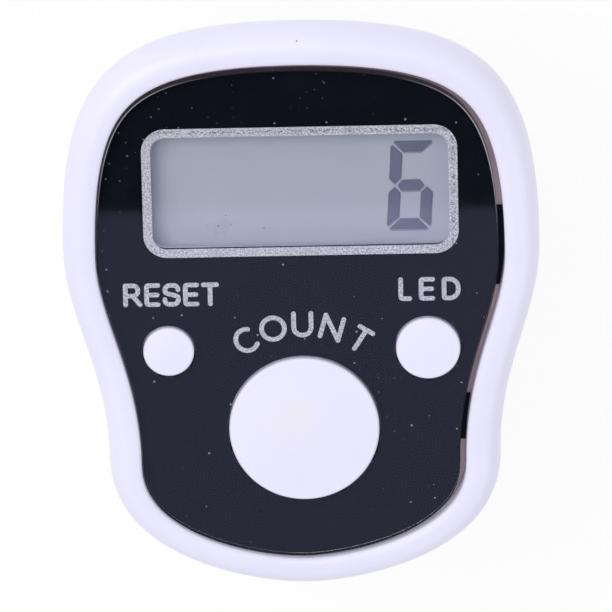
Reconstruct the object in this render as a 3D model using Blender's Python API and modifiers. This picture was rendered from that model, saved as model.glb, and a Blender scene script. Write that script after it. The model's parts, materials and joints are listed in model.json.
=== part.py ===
"""Digital finger counter: a small tally case that a soft hinged band holds on a finger.

The case lies face up. +Z points out of its face, +Y points to 12 o'clock, and z = 0 is
the flat foot of the band. Sizes are metres. Each independent size is written once, and
every seat, hole and neighbour is worked out from it with a named clearance.
"""

import math

import bmesh
import bpy
from mathutils import Vector
from mathutils.geometry import interpolate_bezier

MM = 0.001

# Face layout, from the bottom edge of the case to its top edge
BOTTOM_MARGIN = 6.74 * MM
COUNT_DIAMETER = 10.8 * MM
COUNT_TO_WINDOW = 8.15 * MM
WINDOW_HEIGHT = 8.34 * MM
TOP_MARGIN = 8.08 * MM
WINDOW_WIDTH = 21.28 * MM
WINDOW_CORNER = 1.5 * MM
SIDE_MARGIN = 6.38 * MM
WAIST_MARGIN = 8.66 * MM

# Small buttons, placed inward from the ends of the window and up from the count button
RESET_DIAMETER = 3.64 * MM
LED_DIAMETER = 4.6 * MM
RESET_FROM_WINDOW_END = 1.04 * MM
LED_FROM_WINDOW_END = 1.68 * MM
SMALL_BUTTON_RISE = 5.96 * MM

# Case outline: where it is widest and narrowest, and how far each bend pulls the curve
SHOULDER_BELOW_WINDOW = 0.17 * MM
WAIST_BELOW_COUNT = 2.53 * MM
TOP_PULL = 13.53 * MM
SHOULDER_PULL = 12.77 * MM
SIDE_PULL = 5.27 * MM
WAIST_PULL = 6.98 * MM
CORNER_PULL = 7.45 * MM
BOTTOM_PULL = 4.26 * MM

# Clearances
SEAT_GAP = 0.1 * MM
BUTTON_CLEARANCE = 0.2 * MM
EDGE_CLEARANCE = 0.15 * MM
SCREW_CLEARANCE = 0.1 * MM

# Stack from the back of the case to its face
BATTERY_COVER_THICKNESS = 0.8 * MM
BATTERY_LEDGE = 0.9 * MM
CELL_DIAMETER = 11.6 * MM
CELL_HEIGHT = 3.05 * MM
CONTACT_SPACE = 0.85 * MM
BOARD_THICKNESS = 0.8 * MM
LIGHT_GUIDE_THICKNESS = 0.7 * MM
POLARISER_THICKNESS = 0.15 * MM
REAR_GLASS_THICKNESS = 0.55 * MM
FRONT_GLASS_THICKNESS = 0.55 * MM
WEB_THICKNESS = 0.95 * MM
ADHESIVE_THICKNESS = 0.1 * MM
PANEL_THICKNESS = 0.9 * MM

# Side of the case, from the flat back to the rim
BACK_INSET = 3.5 * MM
BACK_ROUND_PULL = 0.75 * MM
PARTING_INSET = 1.35 * MM
PARTING_GAP = 0.05 * MM
SIDE_TAPER = 0.36
REAR_SIDE_PULL = 2.6 * MM
FRONT_SIDE_PULL = 1.6 * MM
WIDEST_BELOW_CREST = 2.4 * MM
WIDEST_LOWER_PULL = 1.0 * MM
WIDEST_UPPER_PULL = 1.5 * MM
CREST_ABOVE_PANEL = 0.6 * MM
CREST_INSET = 1.6 * MM
CREST_PULL = 1.0 * MM
RIM_WIDTH = 2.5 * MM
RIM_INNER_DROP = 0.35 * MM
RIM_INNER_PULL = 0.2 * MM
PANEL_EDGE_BEVEL = 0.12 * MM

# Walls, lip, floor and bosses of the two case halves
CAVITY_INSET = 2.3 * MM
LIP_HEIGHT = 0.5 * MM
LIP_WALL = 0.7 * MM
REAR_WALL = 1.8 * MM
REAR_FLOOR = 1.1 * MM
BOSS_RADIUS = 1.6 * MM
POST_RADIUS = 1.4 * MM
RIB_THICKNESS = 0.7 * MM
RIB_LENGTH = 2.4 * MM
BOSS_FROM_GLASS = 0.62 * MM
LOWER_BOSS_FROM_SIDE = 6.06 * MM
LOWER_BOSS_FROM_BOTTOM = 6.85 * MM

# Display
GLASS_BORDER = 0.9 * MM
CONTACT_LEDGE = 1.3 * MM
GLASS_CORNER = 0.3 * MM
POLARISER_BORDER = 0.5 * MM
WEB_WINDOW_BORDER = 0.3 * MM
ZEBRA_WIDTH = 1.0 * MM
ZEBRA_END_MARGIN = 1.2 * MM

# Buttons and the rubber domes below them
FLANGE_RIM = 0.7 * MM
FLANGE_THICKNESS = 0.75 * MM
COUNT_TRAVEL = 0.5 * MM
SMALL_TRAVEL = 0.3 * MM
COUNT_PROUD_PRESSED = 0.1 * MM
SMALL_PROUD_PRESSED = 0.05 * MM
COUNT_CROWN = 0.3 * MM
SMALL_CROWN = 0.15 * MM
COUNT_EDGE = 0.3 * MM
SMALL_EDGE = 0.2 * MM
DOME_SPARE = 0.5 * MM
DOME_SKIRT = 0.25 * MM
DOME_WALL = 0.4 * MM
COUNT_DOME_RADIUS = 3.6 * MM
SMALL_DOME_RADIUS = 2.0 * MM
PLUNGER_SHARE = 0.45
CROWN_SHARE = 0.6

# Cell pocket, contacts and battery cover
CELL_CLEARANCE = 0.25 * MM
POCKET_WALL = 0.9 * MM
CELL_CAP_STEP = 0.8 * MM
CELL_CAP_HEIGHT = 0.45 * MM
CELL_EDGE = 0.3 * MM
CONTACT_THICKNESS = 0.15 * MM
CONTACT_WIDTH = 2.4 * MM
CONTACT_FOOT = 1.8 * MM
BATTERY_TAB_REACH = 1.2 * MM
BATTERY_TAB_RADIUS = 2.0 * MM
TONGUE_WIDTH = 4.0 * MM
TONGUE_REACH = 0.8 * MM
TONGUE_THICKNESS = 0.45 * MM

# Screws
CASE_SCREW_RADIUS = 0.7 * MM
CASE_HEAD_RADIUS = 1.25 * MM
SMALL_SCREW_RADIUS = 0.55 * MM
SMALL_HEAD_RADIUS = 1.0 * MM
HEAD_HEIGHT = 0.7 * MM
HEAD_SINK = 0.5 * MM
SCREW_END_GAP = 0.25 * MM
DRIVE_DEPTH = 0.4 * MM
DRIVE_SLOT = 0.25 * MM
DRIVE_SHARE = 0.55
HEAD_SHOULDER_SHARE = 0.8
HEAD_FLAT_SHARE = 0.5
BATTERY_SCREW_LENGTH = 3.0 * MM

# Chip, lamp and resistor on the board
CHIP_RADIUS = 3.4 * MM
CHIP_HEIGHT = 1.0 * MM
LAMP_SIZE = (1.0 * MM, 1.6 * MM, 0.6 * MM)
RESISTOR_SIZE = (1.6 * MM, 0.8 * MM, 0.45 * MM)
RESISTOR_FROM_CHIP = 6.0 * MM

# Finger band, its hinge on the left and its hook on the right
FINGER_HEIGHT = 16.5 * MM
BAND_THICKNESS = 1.4 * MM
BAND_WIDTH = 10.0 * MM
BAND_Y = 1.0 * MM
BAND_EDGE = 0.3 * MM
HINGE_X = -11.2 * MM
LEG_X = 9.2 * MM
FOOT_HALF_LENGTH = 4.1 * MM
KNUCKLE_RADIUS = 1.45 * MM
HINGE_GAP = 0.25 * MM
TRUNNION_RADIUS = 0.85 * MM
HINGE_CLEARANCE = 0.1 * MM
BAND_SIDE_GAP = 0.2 * MM
EAR_THICKNESS = 1.6 * MM
EAR_RISE = 2.8 * MM
TONGUE_BEND = 1.4 * MM
BAND_TO_CASE = 0.35 * MM
BAND_TIP_X = 16.0 * MM
BAND_TIP_CORNER = 2.6 * MM
HOOK_X = 11.45 * MM
HOOK_THICKNESS = 0.9 * MM
HOOK_WIDTH = 4.4 * MM
HOOK_LIP = 0.5 * MM
HOOK_LIP_HEIGHT = 0.65 * MM
HOOK_CLEARANCE = 0.15 * MM
SLOT_PITCH = 2.3 * MM
SLOT_CORNER = 0.4 * MM

# How finely round shapes are divided
OUTLINE_STEPS = 10
PROFILE_STEPS = 4
BEND_STEPS = 10
CORNER_STEPS = 4
LARGE_ROUND = 44
SMALL_ROUND = 24
HIDDEN_ROUND = 16
SCREW_ROUND = 12

# Face layout worked out from the sizes above
CASE_WIDTH = WINDOW_WIDTH + 2 * SIDE_MARGIN
CASE_HEIGHT = BOTTOM_MARGIN + COUNT_DIAMETER + COUNT_TO_WINDOW + WINDOW_HEIGHT + TOP_MARGIN
WAIST_WIDTH = COUNT_DIAMETER + 2 * WAIST_MARGIN
COUNT_Y = -CASE_HEIGHT / 2 + BOTTOM_MARGIN + COUNT_DIAMETER / 2
WINDOW_BOTTOM = COUNT_Y + COUNT_DIAMETER / 2 + COUNT_TO_WINDOW
WINDOW_TOP = WINDOW_BOTTOM + WINDOW_HEIGHT
WINDOW_Y = (WINDOW_BOTTOM + WINDOW_TOP) / 2
SHOULDER_Y = WINDOW_BOTTOM - SHOULDER_BELOW_WINDOW
WAIST_Y = COUNT_Y - WAIST_BELOW_COUNT
COUNT_AT = (0.0, COUNT_Y)
RESET_AT = (RESET_FROM_WINDOW_END - WINDOW_WIDTH / 2, COUNT_Y + SMALL_BUTTON_RISE)
LED_AT = (WINDOW_WIDTH / 2 - LED_FROM_WINDOW_END, COUNT_Y + SMALL_BUTTON_RISE)
BUTTON_PLACES = (
    ("count", COUNT_AT, COUNT_DIAMETER),
    ("reset", RESET_AT, RESET_DIAMETER),
    ("led", LED_AT, LED_DIAMETER),
)

# Heights above the back of the case
CELL_BASE = BATTERY_COVER_THICKNESS + SEAT_GAP
CELL_TOP = CELL_BASE + CELL_HEIGHT
BOARD_BASE = CELL_TOP + CONTACT_SPACE
BOARD_TOP = BOARD_BASE + BOARD_THICKNESS
PARTING = BOARD_BASE - SEAT_GAP - LIP_HEIGHT
GUIDE_BASE = BOARD_TOP + SEAT_GAP
REAR_POLARISER_BASE = GUIDE_BASE + LIGHT_GUIDE_THICKNESS + SEAT_GAP
REAR_GLASS_BASE = REAR_POLARISER_BASE + POLARISER_THICKNESS + SEAT_GAP
FRONT_GLASS_BASE = REAR_GLASS_BASE + REAR_GLASS_THICKNESS
FRONT_POLARISER_BASE = FRONT_GLASS_BASE + FRONT_GLASS_THICKNESS + SEAT_GAP
WEB_BASE = FRONT_POLARISER_BASE + POLARISER_THICKNESS + SEAT_GAP
WEB_TOP = WEB_BASE + WEB_THICKNESS
ADHESIVE_BASE = WEB_TOP + SEAT_GAP
PANEL_BASE = ADHESIVE_BASE + ADHESIVE_THICKNESS + SEAT_GAP
PANEL_TOP = PANEL_BASE + PANEL_THICKNESS
CREST = PANEL_TOP + CREST_ABOVE_PANEL
FLANGE_TOP = WEB_BASE - SEAT_GAP

# Display glass, seen from the face
GLASS_HALF_WIDTH = WINDOW_WIDTH / 2 + GLASS_BORDER
GLASS_TOP_Y = WINDOW_TOP + GLASS_BORDER
REAR_GLASS_BOTTOM_Y = WINDOW_BOTTOM - GLASS_BORDER
FRONT_GLASS_BOTTOM_Y = REAR_GLASS_BOTTOM_Y - CONTACT_LEDGE

# Screw places, seen from the face
TOP_SCREW_AT = (0.0, GLASS_TOP_Y + BOSS_RADIUS + BOSS_FROM_GLASS)
LOWER_BOSS_X = WAIST_WIDTH / 2 - LOWER_BOSS_FROM_SIDE
LOWER_BOSS_Y = -CASE_HEIGHT / 2 + LOWER_BOSS_FROM_BOTTOM
LEFT_SCREW_AT = (-LOWER_BOSS_X, LOWER_BOSS_Y)
RIGHT_SCREW_AT = (LOWER_BOSS_X, LOWER_BOSS_Y)
CASE_SCREWS = {"top": TOP_SCREW_AT, "left": LEFT_SCREW_AT, "right": RIGHT_SCREW_AT}
POST_X = GLASS_HALF_WIDTH + 3 * SEAT_GAP
POST_Y = FRONT_GLASS_BOTTOM_Y - 3 * SEAT_GAP - POST_RADIUS
BOARD_SCREWS = {"left": (-POST_X, POST_Y), "right": (POST_X, POST_Y)}

# Cell pocket and battery cover
CELL_AT = COUNT_AT
POCKET_RADIUS = CELL_DIAMETER / 2 + CELL_CLEARANCE
BATTERY_COVER_RADIUS = POCKET_RADIUS + POCKET_WALL
BATTERY_SCREW_AT = (CELL_AT[0], CELL_AT[1] + BATTERY_COVER_RADIUS + BATTERY_TAB_REACH)
BATTERY_RECESS = BATTERY_COVER_THICKNESS + SEAT_GAP
LEDGE_TOP = BATTERY_RECESS + BATTERY_LEDGE

# Band places. Heights here are above the back of the case, so they are negative
BACK_Z = BAND_THICKNESS + FINGER_HEIGHT
HINGE_HEIGHT = -HINGE_GAP - KNUCKLE_RADIUS
TONGUE_HEIGHT = -BAND_TO_CASE - BAND_THICKNESS / 2
FOOT_HEIGHT = BAND_THICKNESS / 2 - BACK_Z

PARTS = "digital_finger_counter"
CUTTERS = "cutters"

# Finish: base colour, roughness, metallic, transmission
FINISHES = {
    "white_shell": ((0.80, 0.79, 0.90), 0.38, 0.0, 0.0),
    "white_button": ((0.82, 0.81, 0.92), 0.42, 0.0, 0.0),
    "clear_panel": ((0.02, 0.02, 0.03), 0.06, 0.0, 0.1),
    "adhesive_black": ((0.02, 0.02, 0.02), 0.8, 0.0, 0.0),
    "display_glass": ((0.42, 0.45, 0.52), 0.12, 0.0, 0.3),
    "polariser_film": ((0.36, 0.39, 0.45), 0.3, 0.0, 0.0),
    "guide_acrylic": ((0.85, 0.88, 0.90), 0.25, 0.0, 0.5),
    "lamp_white": ((0.90, 0.88, 0.70), 0.3, 0.0, 0.0),
    "rubber_grey": ((0.35, 0.36, 0.38), 0.7, 0.0, 0.0),
    "zebra_black": ((0.05, 0.05, 0.06), 0.7, 0.0, 0.0),
    "board_green": ((0.03, 0.20, 0.08), 0.45, 0.0, 0.0),
    "resin_black": ((0.01, 0.01, 0.01), 0.25, 0.0, 0.0),
    "ceramic_dark": ((0.06, 0.06, 0.06), 0.5, 0.0, 0.0),
    "cell_steel": ((0.62, 0.62, 0.60), 0.25, 1.0, 0.0),
    "contact_nickel": ((0.66, 0.64, 0.58), 0.3, 1.0, 0.0),
    "screw_steel": ((0.45, 0.45, 0.46), 0.35, 1.0, 0.0),
    "band_soft": ((0.78, 0.78, 0.86), 0.55, 0.0, 0.0),
}


def clear_scene():
    """Empty the scene and make the two collections."""
    for thing in list(bpy.data.objects):
        bpy.data.objects.remove(thing, do_unlink=True)
    for name in (PARTS, CUTTERS):
        bpy.context.scene.collection.children.link(bpy.data.collections.new(name))


def add_empty(name, location, parent=None):
    """Empty that carries the pieces of one moving group."""
    empty = bpy.data.objects.new(name, None)
    empty.empty_display_size = 5 * MM
    empty.location = location
    empty.parent = parent
    bpy.data.collections[PARTS].objects.link(empty)
    return empty


def finish(name):
    """Principled material of the named finish."""
    if name in bpy.data.materials:
        return bpy.data.materials[name]
    colour, roughness, metallic, transmission = FINISHES[name]
    material = bpy.data.materials.new(name)
    material.use_nodes = True
    shader = material.node_tree.nodes["Principled BSDF"]
    shader.inputs["Base Color"].default_value = (*colour, 1.0)
    shader.inputs["Roughness"].default_value = roughness
    shader.inputs["Metallic"].default_value = metallic
    shader.inputs["Transmission Weight"].default_value = transmission
    return material


def add_object(name, bm, parent, at=(0.0, 0.0, 0.0)):
    """Object from a bmesh, placed under its parent."""
    bmesh.ops.recalc_face_normals(bm, faces=bm.faces)
    data = bpy.data.meshes.new(name)
    bm.to_mesh(data)
    bm.free()
    thing = bpy.data.objects.new(name, data)
    thing.parent = parent
    thing.location = at
    return thing


def as_part(thing, finish_name):
    """Make the object a piece of the product, smooth except at its sharp edges."""
    thing.data.materials.append(finish(finish_name))
    thing.data.shade_smooth()
    thing.data.set_sharp_from_angle(angle=math.radians(35))
    bpy.data.collections[PARTS].objects.link(thing)
    return thing


def as_cutter(thing):
    """Make the object a guide that only shapes other pieces."""
    thing.hide_render = True
    thing.display_type = "WIRE"
    bpy.data.collections[CUTTERS].objects.link(thing)
    return thing


def combine(body, tools, operation):
    """Boolean each tool with the body, in order."""
    for tool in tools:
        step = body.modifiers.new(tool.name, "BOOLEAN")
        step.operation = operation
        step.solver = "EXACT"
        step.object = as_cutter(tool)


def cut(body, *tools):
    combine(body, tools, "DIFFERENCE")


def join(body, *tools):
    combine(body, tools, "UNION")


def smooth_path(knots, steps):
    """Points on the Bezier curve through knots of (point, handle before, handle after)."""
    points = []
    for (start, _, leave), (end, arrive, _) in zip(knots, knots[1:]):
        handles = (start + leave, end + arrive)
        points += interpolate_bezier(start, *handles, end, steps + 1)[:-1]
    points.append(knots[-1][0])
    return [Vector(point) for point in points]


def arc(centre, radius, first, last, steps):
    """Points on an arc between two angles in degrees."""
    turns = [math.radians(first + (last - first) * i / steps) for i in range(steps + 1)]
    return [Vector(centre) + radius * Vector((math.cos(a), math.sin(a))) for a in turns]


def case_outline(inset):
    """Outline of the case seen from its face, drawn in by the inset, anticlockwise."""
    none = Vector((0.0, 0.0))
    top = Vector((0.0, CASE_HEIGHT / 2))
    shoulder = Vector((CASE_WIDTH / 2, SHOULDER_Y))
    waist = Vector((WAIST_WIDTH / 2, WAIST_Y))
    bottom = Vector((0.0, -CASE_HEIGHT / 2))
    knots = [
        (top, none, Vector((TOP_PULL, 0.0))),
        (shoulder, Vector((0.0, SHOULDER_PULL)), Vector((0.0, -SIDE_PULL))),
        (waist, Vector((0.0, WAIST_PULL)), Vector((0.0, -CORNER_PULL))),
        (bottom, Vector((BOTTOM_PULL, 0.0)), none),
    ]
    right = smooth_path(knots, OUTLINE_STEPS)
    left = [Vector((-point.x, point.y)) for point in right[1:-1]]
    outline = left + list(reversed(right))
    drawn_in = []
    for i, point in enumerate(outline):
        along = outline[(i + 1) % len(outline)] - outline[i - 1]
        inward = Vector((-along.y, along.x)).normalized()
        drawn_in.append(point + inward * inset)
    return drawn_in


def loft(name, sections, parent):
    """Solid through case outlines given as (inset, height), closed flat at both ends."""
    bm = bmesh.new()
    rings = []
    for inset, height in sections:
        rings.append([bm.verts.new((*point, height)) for point in case_outline(inset)])
    for lower, upper in zip(rings, rings[1:]):
        for i in range(len(lower)):
            bm.faces.new((lower[i - 1], lower[i], upper[i], upper[i - 1]))
    bm.faces.new(rings[0])
    bm.faces.new(rings[-1])
    return add_object(name, bm, parent)


def round_edges(bm, edges, radius):
    """Round some edges of a bmesh."""
    bmesh.ops.bevel(
        bm,
        geom=edges,
        offset=radius,
        segments=CORNER_STEPS,
        profile=0.5,
        affect="EDGES",
        material=-1,
    )


def block(name, low, high, parent, corner=0.0):
    """Box between two corners, its upright edges rounded."""
    low, high = Vector(low), Vector(high)
    bm = bmesh.new()
    bmesh.ops.create_cube(bm, size=1.0)
    upright = [edge for edge in bm.edges if edge.verts[0].co.z * edge.verts[1].co.z < 0.0]
    bmesh.ops.scale(bm, vec=high - low, verts=bm.verts)
    bmesh.ops.translate(bm, vec=(low + high) / 2, verts=bm.verts)
    if corner > 0.0:
        round_edges(bm, upright, corner)
    return add_object(name, bm, parent)


def disc(name, radius, low, high, parent, at=(0.0, 0.0), segments=HIDDEN_ROUND):
    """Upright cylinder between two heights."""
    bm = bmesh.new()
    bmesh.ops.create_cone(
        bm, cap_ends=True, segments=segments, radius1=radius, radius2=radius, depth=high - low
    )
    return add_object(name, bm, parent, (*at, (low + high) / 2))


def cross_rod(name, radius, length, parent, at):
    """Cylinder along Y, centred at a point."""
    rod = disc(name, radius, -length / 2, length / 2, parent, segments=SMALL_ROUND)
    rod.rotation_euler.x = math.radians(90)
    rod.location = at
    return rod


def turned(name, profile, parent, at=(0.0, 0.0, 0.0), steps=HIDDEN_ROUND):
    """Turned solid. The profile of (radius, height) runs from the axis on top down to the axis."""
    bm = bmesh.new()
    points = [bm.verts.new((radius, 0.0, height)) for radius, height in profile]
    for upper, lower in zip(points, points[1:]):
        bm.edges.new((upper, lower))
    thing = add_object(name, bm, parent, at)
    spin = thing.modifiers.new("turn", "SCREW")
    spin.axis = "Z"
    spin.steps = steps
    spin.render_steps = steps
    spin.use_merge_vertices = True
    spin.merge_threshold = 0.001 * MM
    spin.use_smooth_shade = True
    return thing


def extruded(name, face_points, along, parent):
    """Solid that carries a flat face straight along a vector."""
    bm = bmesh.new()
    face = bm.faces.new([bm.verts.new(point) for point in face_points])
    grown = bmesh.ops.extrude_face_region(bm, geom=[face], use_keep_orig=True)
    far = [part for part in grown["geom"] if isinstance(part, bmesh.types.BMVert)]
    bmesh.ops.translate(bm, vec=along, verts=far)
    return add_object(name, bm, parent)


def upright_prism(name, outline, low, high, parent):
    """Solid with an outline seen from the face, between two heights."""
    return extruded(name, [(x, y, low) for x, y in outline], (0.0, 0.0, high - low), parent)


def side_prism(name, outline, width, parent, at_y=0.0):
    """Solid with an outline of (x, height) seen from 6 o'clock, its width along Y."""
    points = [(x, at_y - width / 2, z) for x, z in outline]
    return extruded(name, points, (0.0, width, 0.0), parent)


def thickened(path, thickness):
    """Outline of a strip of even thickness along a path."""
    sides = ([], [])
    for i, point in enumerate(path):
        along = path[min(i + 1, len(path) - 1)] - path[max(i - 1, 0)]
        across = Vector((-along.y, along.x)).normalized() * thickness / 2
        sides[0].append(point + across)
        sides[1].append(point - across)
    return sides[0] + list(reversed(sides[1]))


def rear_side_profile():
    """(Inset, height) from the flat back round its edge and up the taper to the parting line."""
    none = Vector((0.0, 0.0))
    taper = Vector((SIDE_TAPER, -1.0)) * REAR_SIDE_PULL
    knots = [
        (Vector((BACK_INSET, 0.0)), none, Vector((-BACK_ROUND_PULL, 0.0))),
        (Vector((PARTING_INSET, PARTING)), taper, none),
    ]
    return smooth_path(knots, PROFILE_STEPS)


def front_side_profile():
    """(Inset, height) from the parting line over the full round rim down into the panel recess."""
    none = Vector((0.0, 0.0))
    taper = Vector((-SIDE_TAPER, 1.0)) * FRONT_SIDE_PULL
    knots = [
        (Vector((PARTING_INSET, PARTING + PARTING_GAP)), none, taper),
        (
            Vector((0.0, CREST - WIDEST_BELOW_CREST)),
            Vector((0.0, -WIDEST_LOWER_PULL)),
            Vector((0.0, WIDEST_UPPER_PULL)),
        ),
        (
            Vector((CREST_INSET, CREST)),
            Vector((-CREST_PULL, 0.0)),
            Vector(((RIM_WIDTH - CREST_INSET) / 2, 0.0)),
        ),
        (Vector((RIM_WIDTH, CREST - RIM_INNER_DROP)), Vector((0.0, RIM_INNER_PULL)), none),
    ]
    return smooth_path(knots, PROFILE_STEPS) + [Vector((RIM_WIDTH, WEB_TOP))]


def round_steps(radius):
    """More sides for the large rounds than for the small ones."""
    return LARGE_ROUND if radius > COUNT_DOME_RADIUS else SMALL_ROUND


def button_openings(name, clearance, low, high, case):
    """One cutter for each button, wider than the button by the clearance."""
    for button, at, diameter in BUTTON_PLACES:
        radius = diameter / 2 + clearance
        yield disc(f"{name}_{button}_hole", radius, low, high, case, at, round_steps(radius))


def window_opening(name, border, low, high, case):
    """Cutter of the display window, larger than the printed window by the border."""
    half = WINDOW_WIDTH / 2 + border
    corners = (-half, WINDOW_BOTTOM - border, low), (half, WINDOW_TOP + border, high)
    return block(name + "_window", *corners, case, WINDOW_CORNER)


def add_display_ribs(shell, case):
    """Four ribs below the web that centre the display glass between them."""
    inner = GLASS_HALF_WIDTH + EDGE_CLEARANCE
    outer = inner + RIB_THICKNESS
    for bottom in (WINDOW_BOTTOM, WINDOW_TOP - RIB_LENGTH):
        for first, last in ((-outer, -inner), (inner, outer)):
            low = (first, bottom, REAR_GLASS_BASE)
            high = (last, bottom + RIB_LENGTH, WEB_TOP - SEAT_GAP)
            join(shell, block("display_rib", low, high, case))


def make_front_shell(case):
    """Front half: side wall and rim in one sweep, web with its openings, bosses, posts and ribs."""
    shell = loft("front_shell", front_side_profile(), case)
    cavity = [(CAVITY_INSET, PARTING - MM), (CAVITY_INSET, WEB_BASE)]
    cut(shell, loft("front_cavity", cavity, case))
    post_base = BOARD_TOP + SEAT_GAP
    post_top = WEB_TOP - SEAT_GAP
    for at in CASE_SCREWS.values():
        join(shell, disc("front_boss", BOSS_RADIUS, post_base, post_top, case, at))
    for at in BOARD_SCREWS.values():
        join(shell, disc("board_post", POST_RADIUS, post_base, post_top, case, at))
    add_display_ribs(shell, case)
    cut(shell, window_opening("web", WEB_WINDOW_BORDER, WEB_BASE - MM, WEB_TOP + MM, case))
    cut(shell, *button_openings("web", BUTTON_CLEARANCE, WEB_BASE - MM, WEB_TOP + MM, case))
    for places, radius in ((CASE_SCREWS, CASE_SCREW_RADIUS), (BOARD_SCREWS, SMALL_SCREW_RADIUS)):
        pilot = radius + SCREW_CLEARANCE
        for at in places.values():
            cut(shell, disc("pilot", pilot, BOARD_TOP - MM, WEB_BASE, case, at, SCREW_ROUND))
    return as_part(shell, "white_shell")


def make_front_panel(case):
    """Clear panel in the rim, with an opening for each button."""
    inset = RIM_WIDTH + EDGE_CLEARANCE
    sections = [
        (inset, PANEL_BASE),
        (inset, PANEL_TOP - PANEL_EDGE_BEVEL),
        (inset + PANEL_EDGE_BEVEL, PANEL_TOP),
    ]
    panel = loft("front_panel", sections, case)
    cut(panel, *button_openings("panel", BUTTON_CLEARANCE, PANEL_BASE - MM, PANEL_TOP + MM, case))
    return as_part(panel, "clear_panel")


def make_panel_adhesive(case):
    """Die-cut adhesive sheet between the web and the panel."""
    inset = RIM_WIDTH + 3 * EDGE_CLEARANCE
    top = ADHESIVE_BASE + ADHESIVE_THICKNESS
    sheet = loft("panel_adhesive", [(inset, ADHESIVE_BASE), (inset, top)], case)
    cut(sheet, window_opening("adhesive", WEB_WINDOW_BORDER, ADHESIVE_BASE - MM, top + MM, case))
    cut(sheet, *button_openings("adhesive", 2 * BUTTON_CLEARANCE, ADHESIVE_BASE - MM, top + MM, case))
    return as_part(sheet, "adhesive_black")


def make_display(case):
    """Display cell with its contact ledge, a polariser on each face, and the light guide."""
    half = GLASS_HALF_WIDTH
    cell = block(
        "lcd_cell",
        (-half, FRONT_GLASS_BOTTOM_Y, FRONT_GLASS_BASE),
        (half, GLASS_TOP_Y, FRONT_GLASS_BASE + FRONT_GLASS_THICKNESS),
        case,
        GLASS_CORNER,
    )
    rear_glass = block(
        "rear_glass",
        (-half + SEAT_GAP, REAR_GLASS_BOTTOM_Y, REAR_GLASS_BASE),
        (half - SEAT_GAP, GLASS_TOP_Y - SEAT_GAP, FRONT_GLASS_BASE + FRONT_GLASS_THICKNESS / 2),
        case,
        GLASS_CORNER,
    )
    join(cell, rear_glass)
    as_part(cell, "display_glass")
    film_half = WINDOW_WIDTH / 2 + POLARISER_BORDER
    film_bottom = WINDOW_BOTTOM - POLARISER_BORDER
    film_top = WINDOW_TOP + POLARISER_BORDER
    films = {"front_polariser": FRONT_POLARISER_BASE, "rear_polariser": REAR_POLARISER_BASE}
    for name, base in films.items():
        low = (-film_half, film_bottom, base)
        high = (film_half, film_top, base + POLARISER_THICKNESS)
        as_part(block(name, low, high, case, GLASS_CORNER), "polariser_film")
    low = (-half, REAR_GLASS_BOTTOM_Y, GUIDE_BASE)
    high = (half, GLASS_TOP_Y, GUIDE_BASE + LIGHT_GUIDE_THICKNESS)
    as_part(block("light_guide", low, high, case, 3 * GLASS_CORNER), "guide_acrylic")


def make_zebra_strip(case):
    """Conductive rubber strip that joins the board to the ledge of the front glass."""
    middle = (FRONT_GLASS_BOTTOM_Y + REAR_GLASS_BOTTOM_Y) / 2
    half_length = GLASS_HALF_WIDTH - ZEBRA_END_MARGIN
    low = (-half_length, middle - ZEBRA_WIDTH / 2, BOARD_TOP + SEAT_GAP)
    high = (half_length, middle + ZEBRA_WIDTH / 2, FRONT_GLASS_BASE - SEAT_GAP)
    return as_part(block("zebra_strip", low, high, case), "zebra_black")


def make_button(name, at, diameter, rise, crown, edge, travel, case):
    """Button with a crowned cap, a flange held under the web, and a plunger over its dome."""
    radius = diameter / 2
    top = PANEL_TOP + rise
    flange = radius + FLANGE_RIM
    flange_base = FLANGE_TOP - FLANGE_THICKNESS
    plunger = radius * PLUNGER_SHARE
    plunger_base = dome_top(travel) + SEAT_GAP
    rounding = arc((radius - edge, top - crown - edge), edge, 90, 0, CORNER_STEPS)
    profile = [
        (0.0, top),
        (radius * CROWN_SHARE, top - crown * CROWN_SHARE**2),
        *rounding,
        (radius, FLANGE_TOP),
        (flange, FLANGE_TOP),
        (flange, flange_base),
        (plunger, flange_base),
        (plunger, plunger_base),
        (0.0, plunger_base),
    ]
    carrier = add_empty(f"{name}_press", (*at, 0.0), case)
    as_part(turned(f"{name}_button", profile, carrier, steps=round_steps(radius)), "white_button")


def dome_top(travel):
    """Height of a dome that can give way by the travel of its button."""
    return BOARD_TOP + SEAT_GAP + travel + DOME_SPARE


def make_dome(name, at, radius, pad, travel, case):
    """Rubber dome, open towards the board, that pushes its button back."""
    base = BOARD_TOP + SEAT_GAP
    top = dome_top(travel)
    profile = [
        (0.0, top),
        (pad, top),
        (radius - DOME_WALL, base + DOME_SKIRT),
        (radius, base + DOME_SKIRT),
        (radius, base),
        (radius - 2 * DOME_WALL, base),
        (pad - DOME_WALL / 2, top - DOME_WALL),
        (0.0, top - DOME_WALL),
    ]
    as_part(turned(f"{name}_dome", profile, case, (*at, 0.0)), "rubber_grey")


def make_buttons(case):
    """The count button and the two small ones, each over its own dome."""
    count = (COUNT_PROUD_PRESSED, COUNT_CROWN, COUNT_EDGE, COUNT_TRAVEL, COUNT_DOME_RADIUS)
    small = (SMALL_PROUD_PRESSED, SMALL_CROWN, SMALL_EDGE, SMALL_TRAVEL, SMALL_DOME_RADIUS)
    for name, at, diameter in BUTTON_PLACES:
        proud, crown, edge, travel, dome_radius = count if name == "count" else small
        make_button(name, at, diameter, proud + travel, crown, edge, travel, case)
        pad = diameter / 2 * PLUNGER_SHARE + DOME_WALL / 2
        make_dome(name, at, dome_radius, pad, travel, case)


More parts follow.
